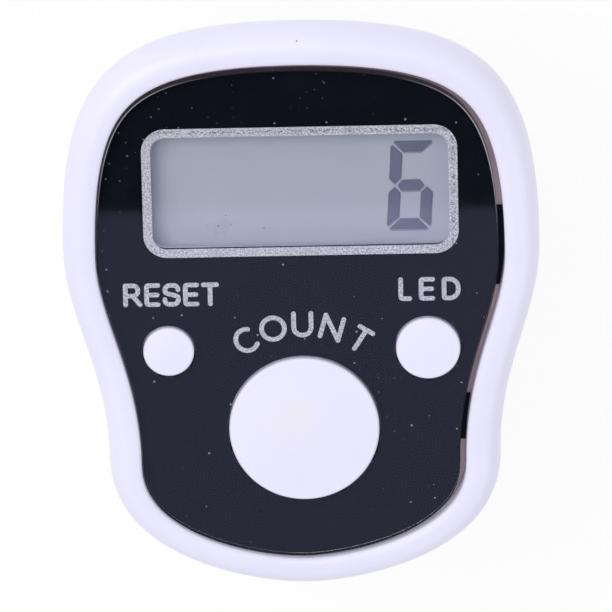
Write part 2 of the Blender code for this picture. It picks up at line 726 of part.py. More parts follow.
def make_circuit_board(case):
    """Board that follows the case outline, with holes for its own screws and the case screws."""
    inset = CAVITY_INSET + 2 * EDGE_CLEARANCE
    board = loft("circuit_board", [(inset, BOARD_BASE), (inset, BOARD_TOP)], case)
    for places, radius in ((CASE_SCREWS, CASE_SCREW_RADIUS), (BOARD_SCREWS, SMALL_SCREW_RADIUS)):
        hole = radius + 2 * SCREW_CLEARANCE
        for at in places.values():
            cut(board, disc("board_hole", hole, BOARD_BASE - MM, BOARD_TOP + MM, case, at, SCREW_ROUND))
    return as_part(board, "board_green")


def make_board_parts(case):
    """Resin over the chip, the lamp at the edge of the light guide, and the lamp's resistor."""
    chip_top = BOARD_BASE - SEAT_GAP
    quarter = arc((0.0, 0.0), 1.0, 0, -90, PROFILE_STEPS)
    rim = [(CHIP_RADIUS * point.x, CHIP_HEIGHT * point.y) for point in quarter[:-1]]
    profile = [(0.0, 0.0), *rim, (0.0, -CHIP_HEIGHT)]
    as_part(turned("chip_cover", profile, case, (0.0, WINDOW_Y, chip_top)), "resin_black")

    width, length, height = LAMP_SIZE
    lamp_x = -GLASS_HALF_WIDTH - 2 * EDGE_CLEARANCE
    low = (lamp_x - width, WINDOW_Y - length / 2, BOARD_TOP + SEAT_GAP)
    high = (lamp_x, WINDOW_Y + length / 2, BOARD_TOP + SEAT_GAP + height)
    as_part(block("backlight_led", low, high, case), "lamp_white")

    width, length, height = RESISTOR_SIZE
    low = (-RESISTOR_FROM_CHIP - width, WINDOW_Y - length / 2, chip_top - height)
    high = (-RESISTOR_FROM_CHIP, WINDOW_Y + length / 2, chip_top)
    as_part(block("led_resistor", low, high, case), "ceramic_dark")


def make_cell(case):
    """Button cell: a wide can below and the narrower cap towards the board."""
    radius = CELL_DIAMETER / 2
    cap = radius - CELL_CAP_STEP
    step = CELL_TOP - CELL_CAP_HEIGHT
    profile = [
        (0.0, CELL_TOP),
        (cap - CELL_EDGE / 2, CELL_TOP),
        (cap, CELL_TOP - CELL_EDGE / 2),
        (cap, step),
        (radius - CELL_EDGE, step),
        (radius, step - CELL_EDGE),
        (radius, CELL_BASE + CELL_EDGE),
        (radius - CELL_EDGE, CELL_BASE),
        (0.0, CELL_BASE),
    ]
    cell = turned("button_cell", profile, case, (*CELL_AT, 0.0), SMALL_ROUND)
    return as_part(cell, "cell_steel")


def make_contacts(case):
    """Leaf on the cap of the cell, and a blade beside its can, both with a foot on the board."""
    foot = BOARD_BASE - SEAT_GAP - CONTACT_THICKNESS / 2
    touch = CELL_TOP + SEAT_GAP + CONTACT_THICKNESS / 2
    reach = POCKET_RADIUS + POCKET_WALL
    third = (foot - touch) / 3
    pad = CONTACT_WIDTH / 3
    leaf = [
        Vector((-reach - CONTACT_FOOT, foot)),
        Vector((-reach, foot)),
        Vector((-reach / 3, touch + third)),
        Vector((-pad, touch)),
        Vector((pad, touch)),
        Vector((3 * pad, touch + third)),
    ]
    outline = thickened(leaf, CONTACT_THICKNESS)
    negative = side_prism("negative_contact", outline, CONTACT_WIDTH, case, CELL_AT[1])
    as_part(negative, "contact_nickel")

    blade_x = CELL_DIAMETER / 2 + SEAT_GAP + CONTACT_THICKNESS / 2
    blade = [
        Vector((blade_x, LEDGE_TOP + 2 * SEAT_GAP)),
        Vector((blade_x, foot - CONTACT_THICKNESS)),
        Vector((blade_x + CONTACT_THICKNESS, foot)),
        Vector((reach + CONTACT_FOOT, foot)),
    ]
    outline = thickened(blade, CONTACT_THICKNESS)
    positive = side_prism("positive_contact", outline, CONTACT_WIDTH, case, CELL_AT[1])
    as_part(positive, "contact_nickel")


def battery_cover_shape(name, growth, low, high, case):
    """Round of the battery cover with its screw tab, wider all round by the growth."""
    radius = BATTERY_COVER_RADIUS + growth
    tab = BATTERY_TAB_RADIUS + growth
    opening = math.degrees(math.asin(tab / radius))
    outline = arc(CELL_AT, radius, 90 + opening, 450 - opening, LARGE_ROUND)
    outline += arc(BATTERY_SCREW_AT, tab, 0, 180, SCREW_ROUND)
    return upright_prism(name, outline, low, high, case)


def battery_tongue(name, growth, low, high, case):
    """Tongue of the battery cover that hooks under the rear cover."""
    edge = CELL_AT[1] - BATTERY_COVER_RADIUS
    half = TONGUE_WIDTH / 2 + growth
    return block(name, (-half, edge - TONGUE_REACH - growth, low), (half, edge + MM, high), case)


def make_rear_cover(case):
    """Rear half: tapered tray with lip, bosses, cell pocket, hinge ears and band hook."""
    profile = rear_side_profile()
    lip_inset = CAVITY_INSET + EDGE_CLEARANCE
    cover = loft("rear_cover", profile, case)
    lip_top = PARTING + LIP_HEIGHT
    join(cover, loft("lip", [(lip_inset, PARTING - LIP_HEIGHT), (lip_inset, lip_top)], case))
    inner = lip_inset + LIP_WALL
    floor_inset = max(inner, BACK_INSET - BACK_ROUND_PULL + REAR_WALL)
    cavity = [(floor_inset, REAR_FLOOR), (inner, PARTING), (inner, lip_top + MM)]
    cut(cover, loft("rear_cavity", cavity, case))

    pocket_top = CELL_TOP + SEAT_GAP - CONTACT_THICKNESS
    wall = POCKET_WALL + EDGE_CLEARANCE
    pad = battery_cover_shape("battery_pad", wall, SEAT_GAP, LEDGE_TOP, case)
    tongue_pad = battery_tongue("tongue_pad", wall, SEAT_GAP, LEDGE_TOP, case)
    pocket = disc("pocket", BATTERY_COVER_RADIUS, SEAT_GAP, pocket_top, case, CELL_AT, SMALL_ROUND)
    screw_tower = disc("screw_tower", BOSS_RADIUS, SEAT_GAP, pocket_top, case, BATTERY_SCREW_AT)
    join(cover, pad, tongue_pad, pocket, screw_tower)
    for at in CASE_SCREWS.values():
        join(cover, disc("rear_boss", BOSS_RADIUS, SEAT_GAP, BOARD_BASE - SEAT_GAP, case, at))
    add_hinge_ears(cover, case)
    add_hook(cover, case)

    cut(cover, disc("cell_bore", POCKET_RADIUS, -MM, pocket_top + MM, case, CELL_AT, SMALL_ROUND))
    half = CONTACT_WIDTH / 2 + EDGE_CLEARANCE
    low = (CELL_DIAMETER / 2, CELL_AT[1] - half, LEDGE_TOP + SEAT_GAP)
    high = (BATTERY_COVER_RADIUS + MM, CELL_AT[1] + half, pocket_top + MM)
    cut(cover, block("blade_slot", low, high, case))
    slot_low = BATTERY_RECESS - TONGUE_THICKNESS - 2 * SEAT_GAP
    slot_high = BATTERY_RECESS - SEAT_GAP / 2
    cut(cover, battery_tongue("tongue_slot", EDGE_CLEARANCE, slot_low, slot_high, case))
    cut(cover, battery_cover_shape("battery_recess", EDGE_CLEARANCE, -MM, BATTERY_RECESS, case))
    pilot = SMALL_SCREW_RADIUS + SCREW_CLEARANCE
    pilot_top = BATTERY_SCREW_LENGTH + SCREW_END_GAP
    cut(cover, disc("battery_pilot", pilot, 0.0, pilot_top, case, BATTERY_SCREW_AT, SCREW_ROUND))
    shank = CASE_SCREW_RADIUS + SCREW_CLEARANCE
    seat = CASE_HEAD_RADIUS + EDGE_CLEARANCE
    seat_top = HEAD_SINK + HEAD_HEIGHT
    for at in CASE_SCREWS.values():
        cut(cover, disc("case_shank", shank, -MM, BOARD_BASE + MM, case, at, SCREW_ROUND))
        cut(cover, disc("case_seat", seat, -MM, seat_top, case, at, SMALL_ROUND))
    return as_part(cover, "white_shell")


def add_hinge_ears(cover, case):
    """Two ears on the left that hold the trunnions of the band."""
    inner = BAND_WIDTH / 2 + BAND_SIDE_GAP
    for side in (-1, 1):
        middle = BAND_Y + side * (inner + EAR_THICKNESS / 2)
        outline = arc((HINGE_X, HINGE_HEIGHT), KNUCKLE_RADIUS, 180, 360, SCREW_ROUND)
        outline.append(Vector((HINGE_X + KNUCKLE_RADIUS, EAR_RISE)))
        outline.append(Vector((HINGE_X - KNUCKLE_RADIUS, EAR_RISE)))
        join(cover, side_prism("ear", outline, EAR_THICKNESS, case, middle))
        hole = TRUNNION_RADIUS + HINGE_CLEARANCE
        at = (HINGE_X, middle, HINGE_HEIGHT)
        cut(cover, cross_rod("ear_hole", hole, 2 * EAR_THICKNESS, case, at))


def hook_foot():
    """Height of the hook's lowest face."""
    return -BAND_TO_CASE - BAND_THICKNESS - HOOK_CLEARANCE - SEAT_GAP - HOOK_LIP_HEIGHT


def add_hook(cover, case):
    """Hook on the right that stands through a slot of the band, its lip outward."""
    inner, outer, foot = HOOK_X, HOOK_X + HOOK_THICKNESS, hook_foot()
    outline = [
        (inner, REAR_FLOOR - SEAT_GAP),
        (inner, foot),
        (outer + HOOK_LIP / 2, foot),
        (outer + HOOK_LIP, foot + HOOK_LIP_HEIGHT / 2),
        (outer + HOOK_LIP, foot + HOOK_LIP_HEIGHT),
        (outer, foot + HOOK_LIP_HEIGHT),
        (outer, REAR_FLOOR - SEAT_GAP),
    ]
    join(cover, side_prism("hook", outline, HOOK_WIDTH, case, BAND_Y))


def make_battery_cover(case):
    """Battery cover flush with the back, with its tongue and its sunk screw seat."""
    cover = battery_cover_shape("battery_cover", 0.0, 0.0, BATTERY_COVER_THICKNESS, case)
    tongue_low = BATTERY_RECESS - TONGUE_THICKNESS - SEAT_GAP
    join(cover, battery_tongue("tongue", 0.0, tongue_low, BATTERY_COVER_THICKNESS, case))
    shank = SMALL_SCREW_RADIUS + SCREW_CLEARANCE
    hole_top = BATTERY_COVER_THICKNESS + MM
    cut(cover, disc("battery_screw_hole", shank, -MM, hole_top, case, BATTERY_SCREW_AT, SCREW_ROUND))
    seat = SMALL_HEAD_RADIUS + SCREW_CLEARANCE
    seat_top = BATTERY_COVER_THICKNESS / 2
    cut(cover, disc("battery_screw_seat", seat, -MM, seat_top, case, BATTERY_SCREW_AT, SMALL_ROUND))
    return as_part(cover, "white_shell")


def make_screw(name, at, head_radius, radius, seat, tip, head_height, case):
    """Cross-head screw driven upward: its head below the seat height, its point at the tip."""
    low = seat - head_height
    profile = [
        (0.0, tip),
        (radius / 2, tip - radius / 2),
        (radius, tip - 2 * radius),
        (radius, seat),
        (head_radius, seat),
        (head_radius, seat - head_height / 2),
        (head_radius * HEAD_SHOULDER_SHARE, low + head_height / 10),
        (head_radius * HEAD_FLAT_SHARE, low),
        (0.0, low),
    ]
    screw = turned(name, profile, case, (*at, 0.0), SCREW_ROUND)
    depth = min(DRIVE_DEPTH, head_height / 2)
    arm = head_radius * DRIVE_SHARE
    for x, y in ((arm, DRIVE_SLOT / 2), (DRIVE_SLOT / 2, arm)):
        corners = (at[0] - x, at[1] - y, low - MM), (at[0] + x, at[1] + y, low + depth)
        cut(screw, block("drive", *corners, case))
    return as_part(screw, "screw_steel")


def make_screws(case):
    """Case screws from the back, board screws below the board, and the battery cover's screw."""
    tip = WEB_BASE - SCREW_END_GAP
    for name, at in CASE_SCREWS.items():
        seat = HEAD_SINK + HEAD_HEIGHT - SEAT_GAP
        sizes = (CASE_HEAD_RADIUS, CASE_SCREW_RADIUS, seat, tip, HEAD_HEIGHT)
        make_screw(f"case_screw_{name}", at, *sizes, case)
    for name, at in BOARD_SCREWS.items():
        seat = BOARD_BASE - SEAT_GAP
        sizes = (SMALL_HEAD_RADIUS, SMALL_SCREW_RADIUS, seat, tip, HEAD_HEIGHT)
        make_screw(f"board_screw_{name}", at, *sizes, case)
    seat = BATTERY_COVER_THICKNESS / 2 - SEAT_GAP / 2
    sizes = (SMALL_HEAD_RADIUS, SMALL_SCREW_RADIUS, seat, BATTERY_SCREW_LENGTH, seat)
    make_screw("battery_cover_screw", BATTERY_SCREW_AT, *sizes, case)


def band_path():
    """Centre line of the band as (x, height) from its hinge round the finger to its tip."""
    left_bend = FOOT_HALF_LENGTH + HINGE_X
    left_radius = -left_bend
    right_radius = LEG_X - FOOT_HALF_LENGTH
    left_centre = (-FOOT_HALF_LENGTH, FOOT_HEIGHT + left_radius)
    right_centre = (FOOT_HALF_LENGTH, FOOT_HEIGHT + right_radius)
    bend_centre = (LEG_X + TONGUE_BEND, TONGUE_HEIGHT - TONGUE_BEND)
    path = [Vector((HINGE_X, HINGE_HEIGHT))]
    path += arc(left_centre, left_radius, 180, 270, BEND_STEPS)
    path += arc(right_centre, right_radius, 270, 360, BEND_STEPS)
    path += arc(bend_centre, TONGUE_BEND, 180, 90, CORNER_STEPS)
    path.append(Vector((BAND_TIP_X, TONGUE_HEIGHT)))
    return path


def round_band_tip(band):
    """Round the two corners of the band's free end, seen from the face."""
    bm = bmesh.new()
    bm.from_mesh(band.data)
    tip = max(vertex.co.x for vertex in bm.verts)
    upright = []
    for edge in bm.edges:
        first, second = (vertex.co for vertex in edge.verts)
        at_tip = min(first.x, second.x) > tip - 0.01 * MM
        if at_tip and abs(first.y - second.y) < 0.01 * MM:
            upright.append(edge)
    round_edges(bm, upright, BAND_TIP_CORNER)
    bm.to_mesh(band.data)
    bm.free()


def make_finger_band(case):
    """Soft band: knuckle with trunnions, loop round the finger, and a slotted free end."""
    hinge = add_empty("band_hinge", (HINGE_X, BAND_Y, HINGE_HEIGHT), case)
    path = [point - Vector((HINGE_X, HINGE_HEIGHT)) for point in band_path()]
    band = side_prism("finger_band", thickened(path, BAND_THICKNESS), BAND_WIDTH, hinge)
    round_band_tip(band)
    soften = band.modifiers.new("soft_edges", "BEVEL")
    soften.width = BAND_EDGE
    soften.segments = 2
    soften.limit_method = "ANGLE"
    soften.angle_limit = math.radians(50)

    length = HOOK_THICKNESS + HOOK_LIP + 2 * HOOK_CLEARANCE
    half_width = HOOK_WIDTH / 2 + HOOK_CLEARANCE
    first_x = HOOK_X - HOOK_CLEARANCE + length / 2 - HINGE_X
    tongue_z = TONGUE_HEIGHT - HINGE_HEIGHT
    for i in range(2):
        middle = first_x + i * SLOT_PITCH
        low = (middle - length / 2, -half_width, tongue_z - BAND_THICKNESS)
        high = (middle + length / 2, half_width, tongue_z + BAND_THICKNESS)
        cut(band, block("tongue_slot", low, high, hinge, SLOT_CORNER))
    leg_x = LEG_X - HINGE_X
    leg_top = tongue_z - TONGUE_BEND
    for i in range(2):
        middle = leg_top - length / 2 - i * SLOT_PITCH
        low = (leg_x - BAND_THICKNESS, -half_width, middle - length / 2)
        high = (leg_x + BAND_THICKNESS, half_width, middle + length / 2)
        cut(band, block("leg_slot", low, high, hinge))

    join(band, cross_rod("knuckle", KNUCKLE_RADIUS, BAND_WIDTH, hinge, (0.0, 0.0, 0.0)))
    across = BAND_WIDTH + 2 * (BAND_SIDE_GAP + EAR_THICKNESS)
    join(band, cross_rod("trunnions", TRUNNION_RADIUS, across, hinge, (0.0, 0.0, 0.0)))
    return as_part(band, "band_soft")


def main():
    clear_scene()
    case = add_empty("case_back", (0.0, 0.0, BACK_Z))
    make_front_shell(case)
    make_front_panel(case)
    make_panel_adhesive(case)
    make_buttons(case)
    make_display(case)
    make_zebra_strip(case)
    make_circuit_board(case)
    make_board_parts(case)
    make_cell(case)
    make_contacts(case)
    make_rear_cover(case)
    make_battery_cover(case)
    make_screws(case)
    make_finger_band(case)
    bpy.context.view_layer.update()


main()
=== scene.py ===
"""Looks of a digital finger counter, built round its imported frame.

The frame gives every place and size that joints and screws depend on. This script models
the moulded case, the printed panel, the buttons, the display and the band in fine meshes,
gives each surface a procedural finish, and sets the floor, the lamps and the camera.
Sizes are metres in the frame's axes: +Z out of the face and +Y towards 12 o'clock.
"""

from __future__ import annotations

import json
import logging
import math
from dataclasses import dataclass, field, replace
from enum import Enum
from typing import Iterable, Sequence

import bmesh
import bpy
from mathutils import Matrix, Vector
from mathutils.geometry import interpolate_bezier


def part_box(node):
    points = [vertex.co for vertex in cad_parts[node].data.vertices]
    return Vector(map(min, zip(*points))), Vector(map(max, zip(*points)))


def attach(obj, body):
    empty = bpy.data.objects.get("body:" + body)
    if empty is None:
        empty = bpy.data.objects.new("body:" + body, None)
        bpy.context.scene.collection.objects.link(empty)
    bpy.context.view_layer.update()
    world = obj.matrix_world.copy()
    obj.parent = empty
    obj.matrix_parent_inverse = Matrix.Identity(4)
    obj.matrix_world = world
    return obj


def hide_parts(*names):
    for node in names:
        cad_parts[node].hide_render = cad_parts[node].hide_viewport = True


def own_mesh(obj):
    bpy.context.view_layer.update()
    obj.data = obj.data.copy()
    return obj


MM = 0.001
MERGE_DISTANCE = 0.0001 * MM
SMOOTH_ANGLE = math.radians(32)
FLAT_FACE_ANGLE = math.radians(8)
SHARP_ANGLE = math.radians(40)
FILM_BORDER = 0.5 * MM
RECESS_SHIFT = (-0.075 * MM, -0.12 * MM)
GAP = 0.1 * MM
WEB_THICKNESS = 0.95 * MM
BOSS_RADIUS = 1.6 * MM
CASE_SCREW_HOLE = 0.8 * MM
SMALL_SCREW_HOLE = 0.65 * MM
LID_RECESS = 0.9 * MM
WINDOW_BORDER = 0.3 * MM
KNUCKLE_RADIUS = 1.45 * MM
BAND_WIDTH = 10.0 * MM
NO_PULL = (0.0, 0.0)
FINE_ROUND = 144
LARGE_ROUND = 96
SMALL_ROUND = 48
TINY_ROUND = 24
WHITE = (1.0, 1.0, 1.0)
BLACK = (0.0, 0.0, 0.0)

Colour = tuple[float, float, float]
Point = Sequence[float]
Piece = bpy.types.Object
Solid = bmesh.types.BMesh
Node = bpy.types.Node
Socket = bpy.types.NodeSocket
Sockets = dict[str, Socket]
Inputs = dict[str, object]

log = logging.getLogger("finger_counter")
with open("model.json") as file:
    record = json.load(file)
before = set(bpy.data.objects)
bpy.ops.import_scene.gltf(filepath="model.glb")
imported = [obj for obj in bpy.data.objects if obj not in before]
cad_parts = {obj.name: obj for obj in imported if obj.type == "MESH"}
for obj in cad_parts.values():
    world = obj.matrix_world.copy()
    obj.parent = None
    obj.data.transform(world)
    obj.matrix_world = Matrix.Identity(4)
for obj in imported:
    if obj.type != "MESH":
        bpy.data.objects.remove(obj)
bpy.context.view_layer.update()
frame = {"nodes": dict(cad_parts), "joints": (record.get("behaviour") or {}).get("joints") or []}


class Joining(Enum):
    """How a tool shapes a piece."""

    ADD = "UNION"
    CUT = "DIFFERENCE"
    KEEP = "INTERSECT"


# Places read from the frame


def centre_of(node: str) -> Vector:
    """Centre of a CAD node seen from the face."""
    low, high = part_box(node)
    return ((low + high) / 2).to_2d()


def foot_of(node: str) -> float:
    """Lowest height of a CAD node."""
    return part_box(node)[0].z


def top_of(node: str) -> float:
    """Highest height of a CAD node."""
    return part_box(node)[1].z


def web_heights() -> Point:
    """Underside and top of the web behind the panel."""
    top = foot_of("panel_adhesive") - GAP
    return top - WEB_THICKNESS, top


def joint_named(name: str) -> dict:
    """The record's joint of that name."""
    return next(joint for joint in frame["joints"] if joint["name"] == name)


def hinge_centre() -> Vector:
    """Where the band's hinge line crosses the middle of the band."""
    return Vector(joint_named("band_hinge")["pos_m"])


def window_corners(border: float) -> tuple[Vector, Vector]:
    """Lower left and upper right corner of the display window, widened by a border."""
    low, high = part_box("front_polariser")
    growth = Vector((1.0, 1.0)) * (border - FILM_BORDER)
    return low.to_2d() - growth, high.to_2d() + growth


BACK = foot_of("battery_cover")


# Mesh tools


def smooth_path(knots: Sequence[tuple[Point, Point, Point]], steps: int) -> list[Vector]:
    """Points on the Bezier curve through some knots.

    Args:
        knots: Each knot's point, and the pulls of its handles before and after it.
        steps: Points on each stretch between two knots.

    Returns:
        The curve's points, both ends included.
    """
    points: list[Vector] = []
    for (start, _, leave), (end, arrive, _) in zip(knots, knots[1:]):
        first, last = Vector(start), Vector(end)
        handles = first + Vector(leave), last + Vector(arrive)
        points += interpolate_bezier(first, *handles, last, steps + 1)[:-1]
    points.append(Vector(knots[-1][0]))
    return [point.to_2d() for point in points]


def arc(centre: Point, radii: Point, first: float, last: float, steps: int) -> list[Vector]:
    """Points on an arc of an ellipse.

    Args:
        centre: Middle of the ellipse.
        radii: Half width and half height.
        first: Start angle in degrees.
        last: End angle in degrees.
        steps: Number of stretches.

    Returns:
        The arc's points, both ends included.
    """
    turns = [math.radians(first + (last - first) * i / steps) for i in range(steps + 1)]
    middle = Vector(centre)
    return [middle + Vector((radii[0] * math.cos(a), radii[1] * math.sin(a))) for a in turns]


def add_piece(name: str, bm: Solid) -> Piece:
    """Turn a bmesh into an object with closed seams and outward faces.

    Args:
        name: Name of the piece.
        bm: The shape, which is freed.

    Returns:
        The new object, linked to the scene.
    """
    bmesh.ops.remove_doubles(bm, verts=bm.verts, dist=MERGE_DISTANCE)
    bmesh.ops.recalc_face_normals(bm, faces=bm.faces)
    mesh = bpy.data.meshes.new(name)
    bm.to_mesh(mesh)
    bm.free()
    piece = bpy.data.objects.new(name, mesh)
    bpy.context.scene.collection.objects.link(piece)
    return piece


def shape_with(piece: Piece, how: Joining, tools: Iterable[Piece]) -> None:
    """Apply tools to a piece by Boolean and remove them.

    Args:
        piece: The piece to change.
        how: Whether each tool is added, cut away or kept.
        tools: Objects used up by the operation.
    """
    used = list(tools)
    for tool in used:
        step = piece.modifiers.new(tool.name, "BOOLEAN")
        step.operation = how.value
        step.solver = "EXACT"
        step.object = tool
    graph = bpy.context.evaluated_depsgraph_get()
    shaped = bpy.data.meshes.new_from_object(piece.evaluated_get(graph))
    piece.modifiers.clear()
    rough = piece.data
    piece.data = shaped
    shaped.name = piece.name
    bpy.data.meshes.remove(rough)
    for tool in used:
        spent = tool.data
        bpy.data.objects.remove(tool, do_unlink=True)
        bpy.data.meshes.remove(spent)


def place_piece(
    piece: Piece,
    body: str,
    finish: Finish,
    stands_for: Sequence[str] = (),
    smooth_angle: float = SMOOTH_ANGLE,
) -> None:
    """Dress a finished piece and fix it to its body.

    Args:
        piece: The finished piece.
        body: Name of the CAD body it rides on.
        finish: Its finish.
        stands_for: CAD nodes it replaces.
        smooth_angle: Edges that turn further than this stay sharp.
    """
    piece.data.materials.clear()
    piece.data.materials.append(finish.material())
    piece.data.shade_smooth()
    piece.data.set_sharp_from_angle(angle=smooth_angle)
    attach(piece, body)
    if stands_for:
        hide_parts(*stands_for)
    log.info("%s: %d faces on %s", piece.name, len(piece.data.polygons), body)


def spun(profile: Sequence[Point], at: Point, segments: int, along: str = "Z") -> Solid:
    """Solid of revolution.

    Args:
        profile: (Radius, height) from the axis at one end to the axis at the other.
        at: Where the axis stands.
        segments: Sides of the full turn.
        along: Axis name, Z or Y.

    Returns:
        The solid as a bmesh.
    """
    bm = bmesh.new()
    verts = [bm.verts.new((radius, 0.0, height)) for radius, height in profile]
    edges = [bm.edges.new(pair) for pair in zip(verts, verts[1:])]
    bmesh.ops.spin(
        bm,
        geom=verts + edges,
        cent=(0.0, 0.0, 0.0),
        axis=(0.0, 0.0, 1.0),
        dvec=(0.0, 0.0, 0.0),
        angle=2 * math.pi,
        steps=segments,
        use_merge=True,
    )
    if along == "Y":
        bmesh.ops.rotate(bm, matrix=Matrix.Rotation(math.radians(90), 3, "X"), verts=bm.verts)
    place = Vector((*at, 0.0)) if len(at) == 2 else Vector(at)
    bmesh.ops.translate(bm, vec=place, verts=bm.verts)
    return bm


def rod(
    name: str,
    radius: float,
    low: float,
    high: float,
    at: Point,
    segments: int = SMALL_ROUND,
    along: str = "Z",
) -> Piece:
    """Round rod between two heights on its axis, used as a tool."""
    profile = [(0.0, low), (radius, low), (radius, high), (0.0, high)]
    return add_piece(name, spun(profile, at, segments, along))


def bevelled(bm: Solid, edges: Sequence, offset: float, segments: int) -> None:
    """Round some edges of a bmesh.

    Args:
        bm: The shape.
        edges: The edges to round.
        offset: How far the rounding reaches on each side of an edge.
        segments: Facets of the rounding.
    """
    bmesh.ops.bevel(
        bm,
        geom=list(edges),
        offset=offset,
        offset_type="OFFSET",
        segments=segments,
        profile=0.5,
        affect="EDGES",
        material=-1,
        clamp_overlap=True,
    )


def plate(low: Point, high: Point, corner: float = 0.0, corner_steps: int = 10) -> Solid:
    """Box between two corners with its upright edges rounded.

    Args:
        low: Lowest corner.
        high: Highest corner.
        corner: Radius of the upright edges.
        corner_steps: Facets of each rounded edge.

    Returns:
        The box as a bmesh.
    """
    bm = bmesh.new()
    bmesh.ops.create_cube(bm, size=1.0)
    upright = [edge for edge in bm.edges if edge.verts[0].co.z * edge.verts[1].co.z < 0.0]
    bmesh.ops.scale(bm, vec=Vector(high) - Vector(low), verts=bm.verts)
    bmesh.ops.translate(bm, vec=(Vector(low) + Vector(high)) / 2, verts=bm.verts)
    if corner > 0.0:
        bevelled(bm, upright, corner, corner_steps)
    return bm


def verts_in(parts: Iterable) -> list[bmesh.types.BMVert]:
    """Vertices among the parts that an operator gives back."""
    return [part for part in parts if isinstance(part, bmesh.types.BMVert)]


def thicken(bm: Solid, along: Point) -> None:
    """Carry all faces straight along a vector and close the sides between."""
    grown = bmesh.ops.extrude_face_region(bm, geom=bm.faces[:], use_keep_orig=True)
    bmesh.ops.translate(bm, vec=Vector(along), verts=verts_in(grown["geom"]))


def prism(points: Sequence[Point], along: Point) -> Solid:
    """Flat face carried straight along a vector.

    Args:
        points: The face's corners in order.
        along: How far and which way it is carried.

    Returns:
        The closed solid as a bmesh.
    """
    bm = bmesh.new()
    bm.faces.new([bm.verts.new(point) for point in points])
    thicken(bm, along)
    return bm


def upright_prism(outline: Sequence[Point], low: float, high: float) -> Solid:
    """Solid with an outline seen from the face, between two heights."""
    return prism([(x, y, low) for x, y in outline], (0.0, 0.0, high - low))


def side_prism(outline: Sequence[Point], width: float, middle: float) -> Solid:
    """Solid with an outline of (x, height) seen from 6 o'clock, its width along Y."""
    return prism([(x, middle - width / 2, z) for x, z in outline], (0.0, width, 0.0))


def pen_line(
    path: Sequence[Vector],
    width: float,
    low: float,
    high: float,
    closed: bool = False,
) -> Solid:
    """Flat line of even width along a path, with round ends.

    Args:
        path: Middle of the line, seen from the face.
        width: Width of the pen.
        low: Height of its underside.
        high: Height of its face.
        closed: Whether the line joins up with its own start.

    Returns:
        The line as a closed solid.
    """
    half = width / 2
    stations: list[tuple[Vector, Vector]] = []
    count = len(path)
    for i, point in enumerate(path):
        before = path[(i - 1) % count] if closed else path[max(i - 1, 0)]
        after = path[(i + 1) % count] if closed else path[min(i + 1, count - 1)]
        along = (after - before).normalized()
        stations.append((point, Vector((-along.y, along.x)) * half))
    if closed:
        stations.append(stations[0])
    else:
        stations = round_end(stations, half, -1) + stations + round_end(stations, half, 1)
    bm = bmesh.new()
    point, across = stations[0]
    ends = [bm.verts.new((*side, low)) for side in (point + across, point - across)]
    edge = bm.edges.new(ends)
    for point, across in stations[1:]:
        verts = verts_in(bmesh.ops.extrude_edge_only(bm, edges=[edge])["geom"])
        edge = next(e for e in verts[0].link_edges if e.other_vert(verts[0]) in verts)
        left = next(v for v in verts if v.link_edges and linked_to(v, ends[0]))
        right = next(v for v in verts if v is not left)
        left.co = (*(point + across), low)
        right.co = (*(point - across), low)
        ends = [left, right]
    bmesh.ops.remove_doubles(bm, verts=bm.verts, dist=MERGE_DISTANCE)
    thicken(bm, (0.0, 0.0, high - low))
    return bm


def linked_to(vert: bmesh.types.BMVert, other: bmesh.types.BMVert) -> bool:
    """Whether an edge joins two vertices."""
    return any(edge.other_vert(vert) is other for edge in vert.link_edges)


def round_end(
    stations: Sequence[tuple[Vector, Vector]], half: float, side: int
) -> list[tuple[Vector, Vector]]:
    """Narrowing stations that close one end of a pen line.

    Args:
        stations: The line's points, each with its half width across.
        half: Half of the line's width.
        side: -1 for the start of the line and 1 for its end.

    Returns:
        The extra stations, in the order of the line.
    """
    point, across = stations[0] if side < 0 else stations[-1]
    outward = Vector((across.y, -across.x)).normalized() * side
    steps = 6
    extra = []
    for i in range(1, steps + 1):
        turn = math.radians(90 * i / steps)
        extra.append((point + outward * half * math.sin(turn), across * math.cos(turn)))
    return list(reversed(extra)) if side < 0 else extra


def bent_path(corners: Sequence[tuple[float, float, float]], closed: bool = False) -> list[Vector]:
    """Path with rounded corners.

    Args:
        corners: Each corner's x and y, and the radius of its bend.
        closed: Whether the last corner leads back to the first.

    Returns:
        The path's points.
    """
    count = len(corners)
    points: list[Vector] = []
    for i, (x, y, bend) in enumerate(corners):
        here = Vector((x, y))
        at_end = not closed and i in (0, count - 1)
        if at_end or bend <= 0.0:
            points.append(here)
            continue
        before = (Vector(corners[i - 1][:2]) - here).normalized()
        after = (Vector(corners[(i + 1) % count][:2]) - here).normalized()
        spread = before.angle(after)
        reach = bend / math.tan(spread / 2)
        middle = here + (before + after).normalized() * bend / math.sin(spread / 2)
        start = (here + before * reach - middle).normalized()
        end = (here + after * reach - middle).normalized()
        steps = 8
        for k in range(steps + 1):
            points.append(middle + start.slerp(end, k / steps) * bend)
    return points


# The case outline and what is swept round it


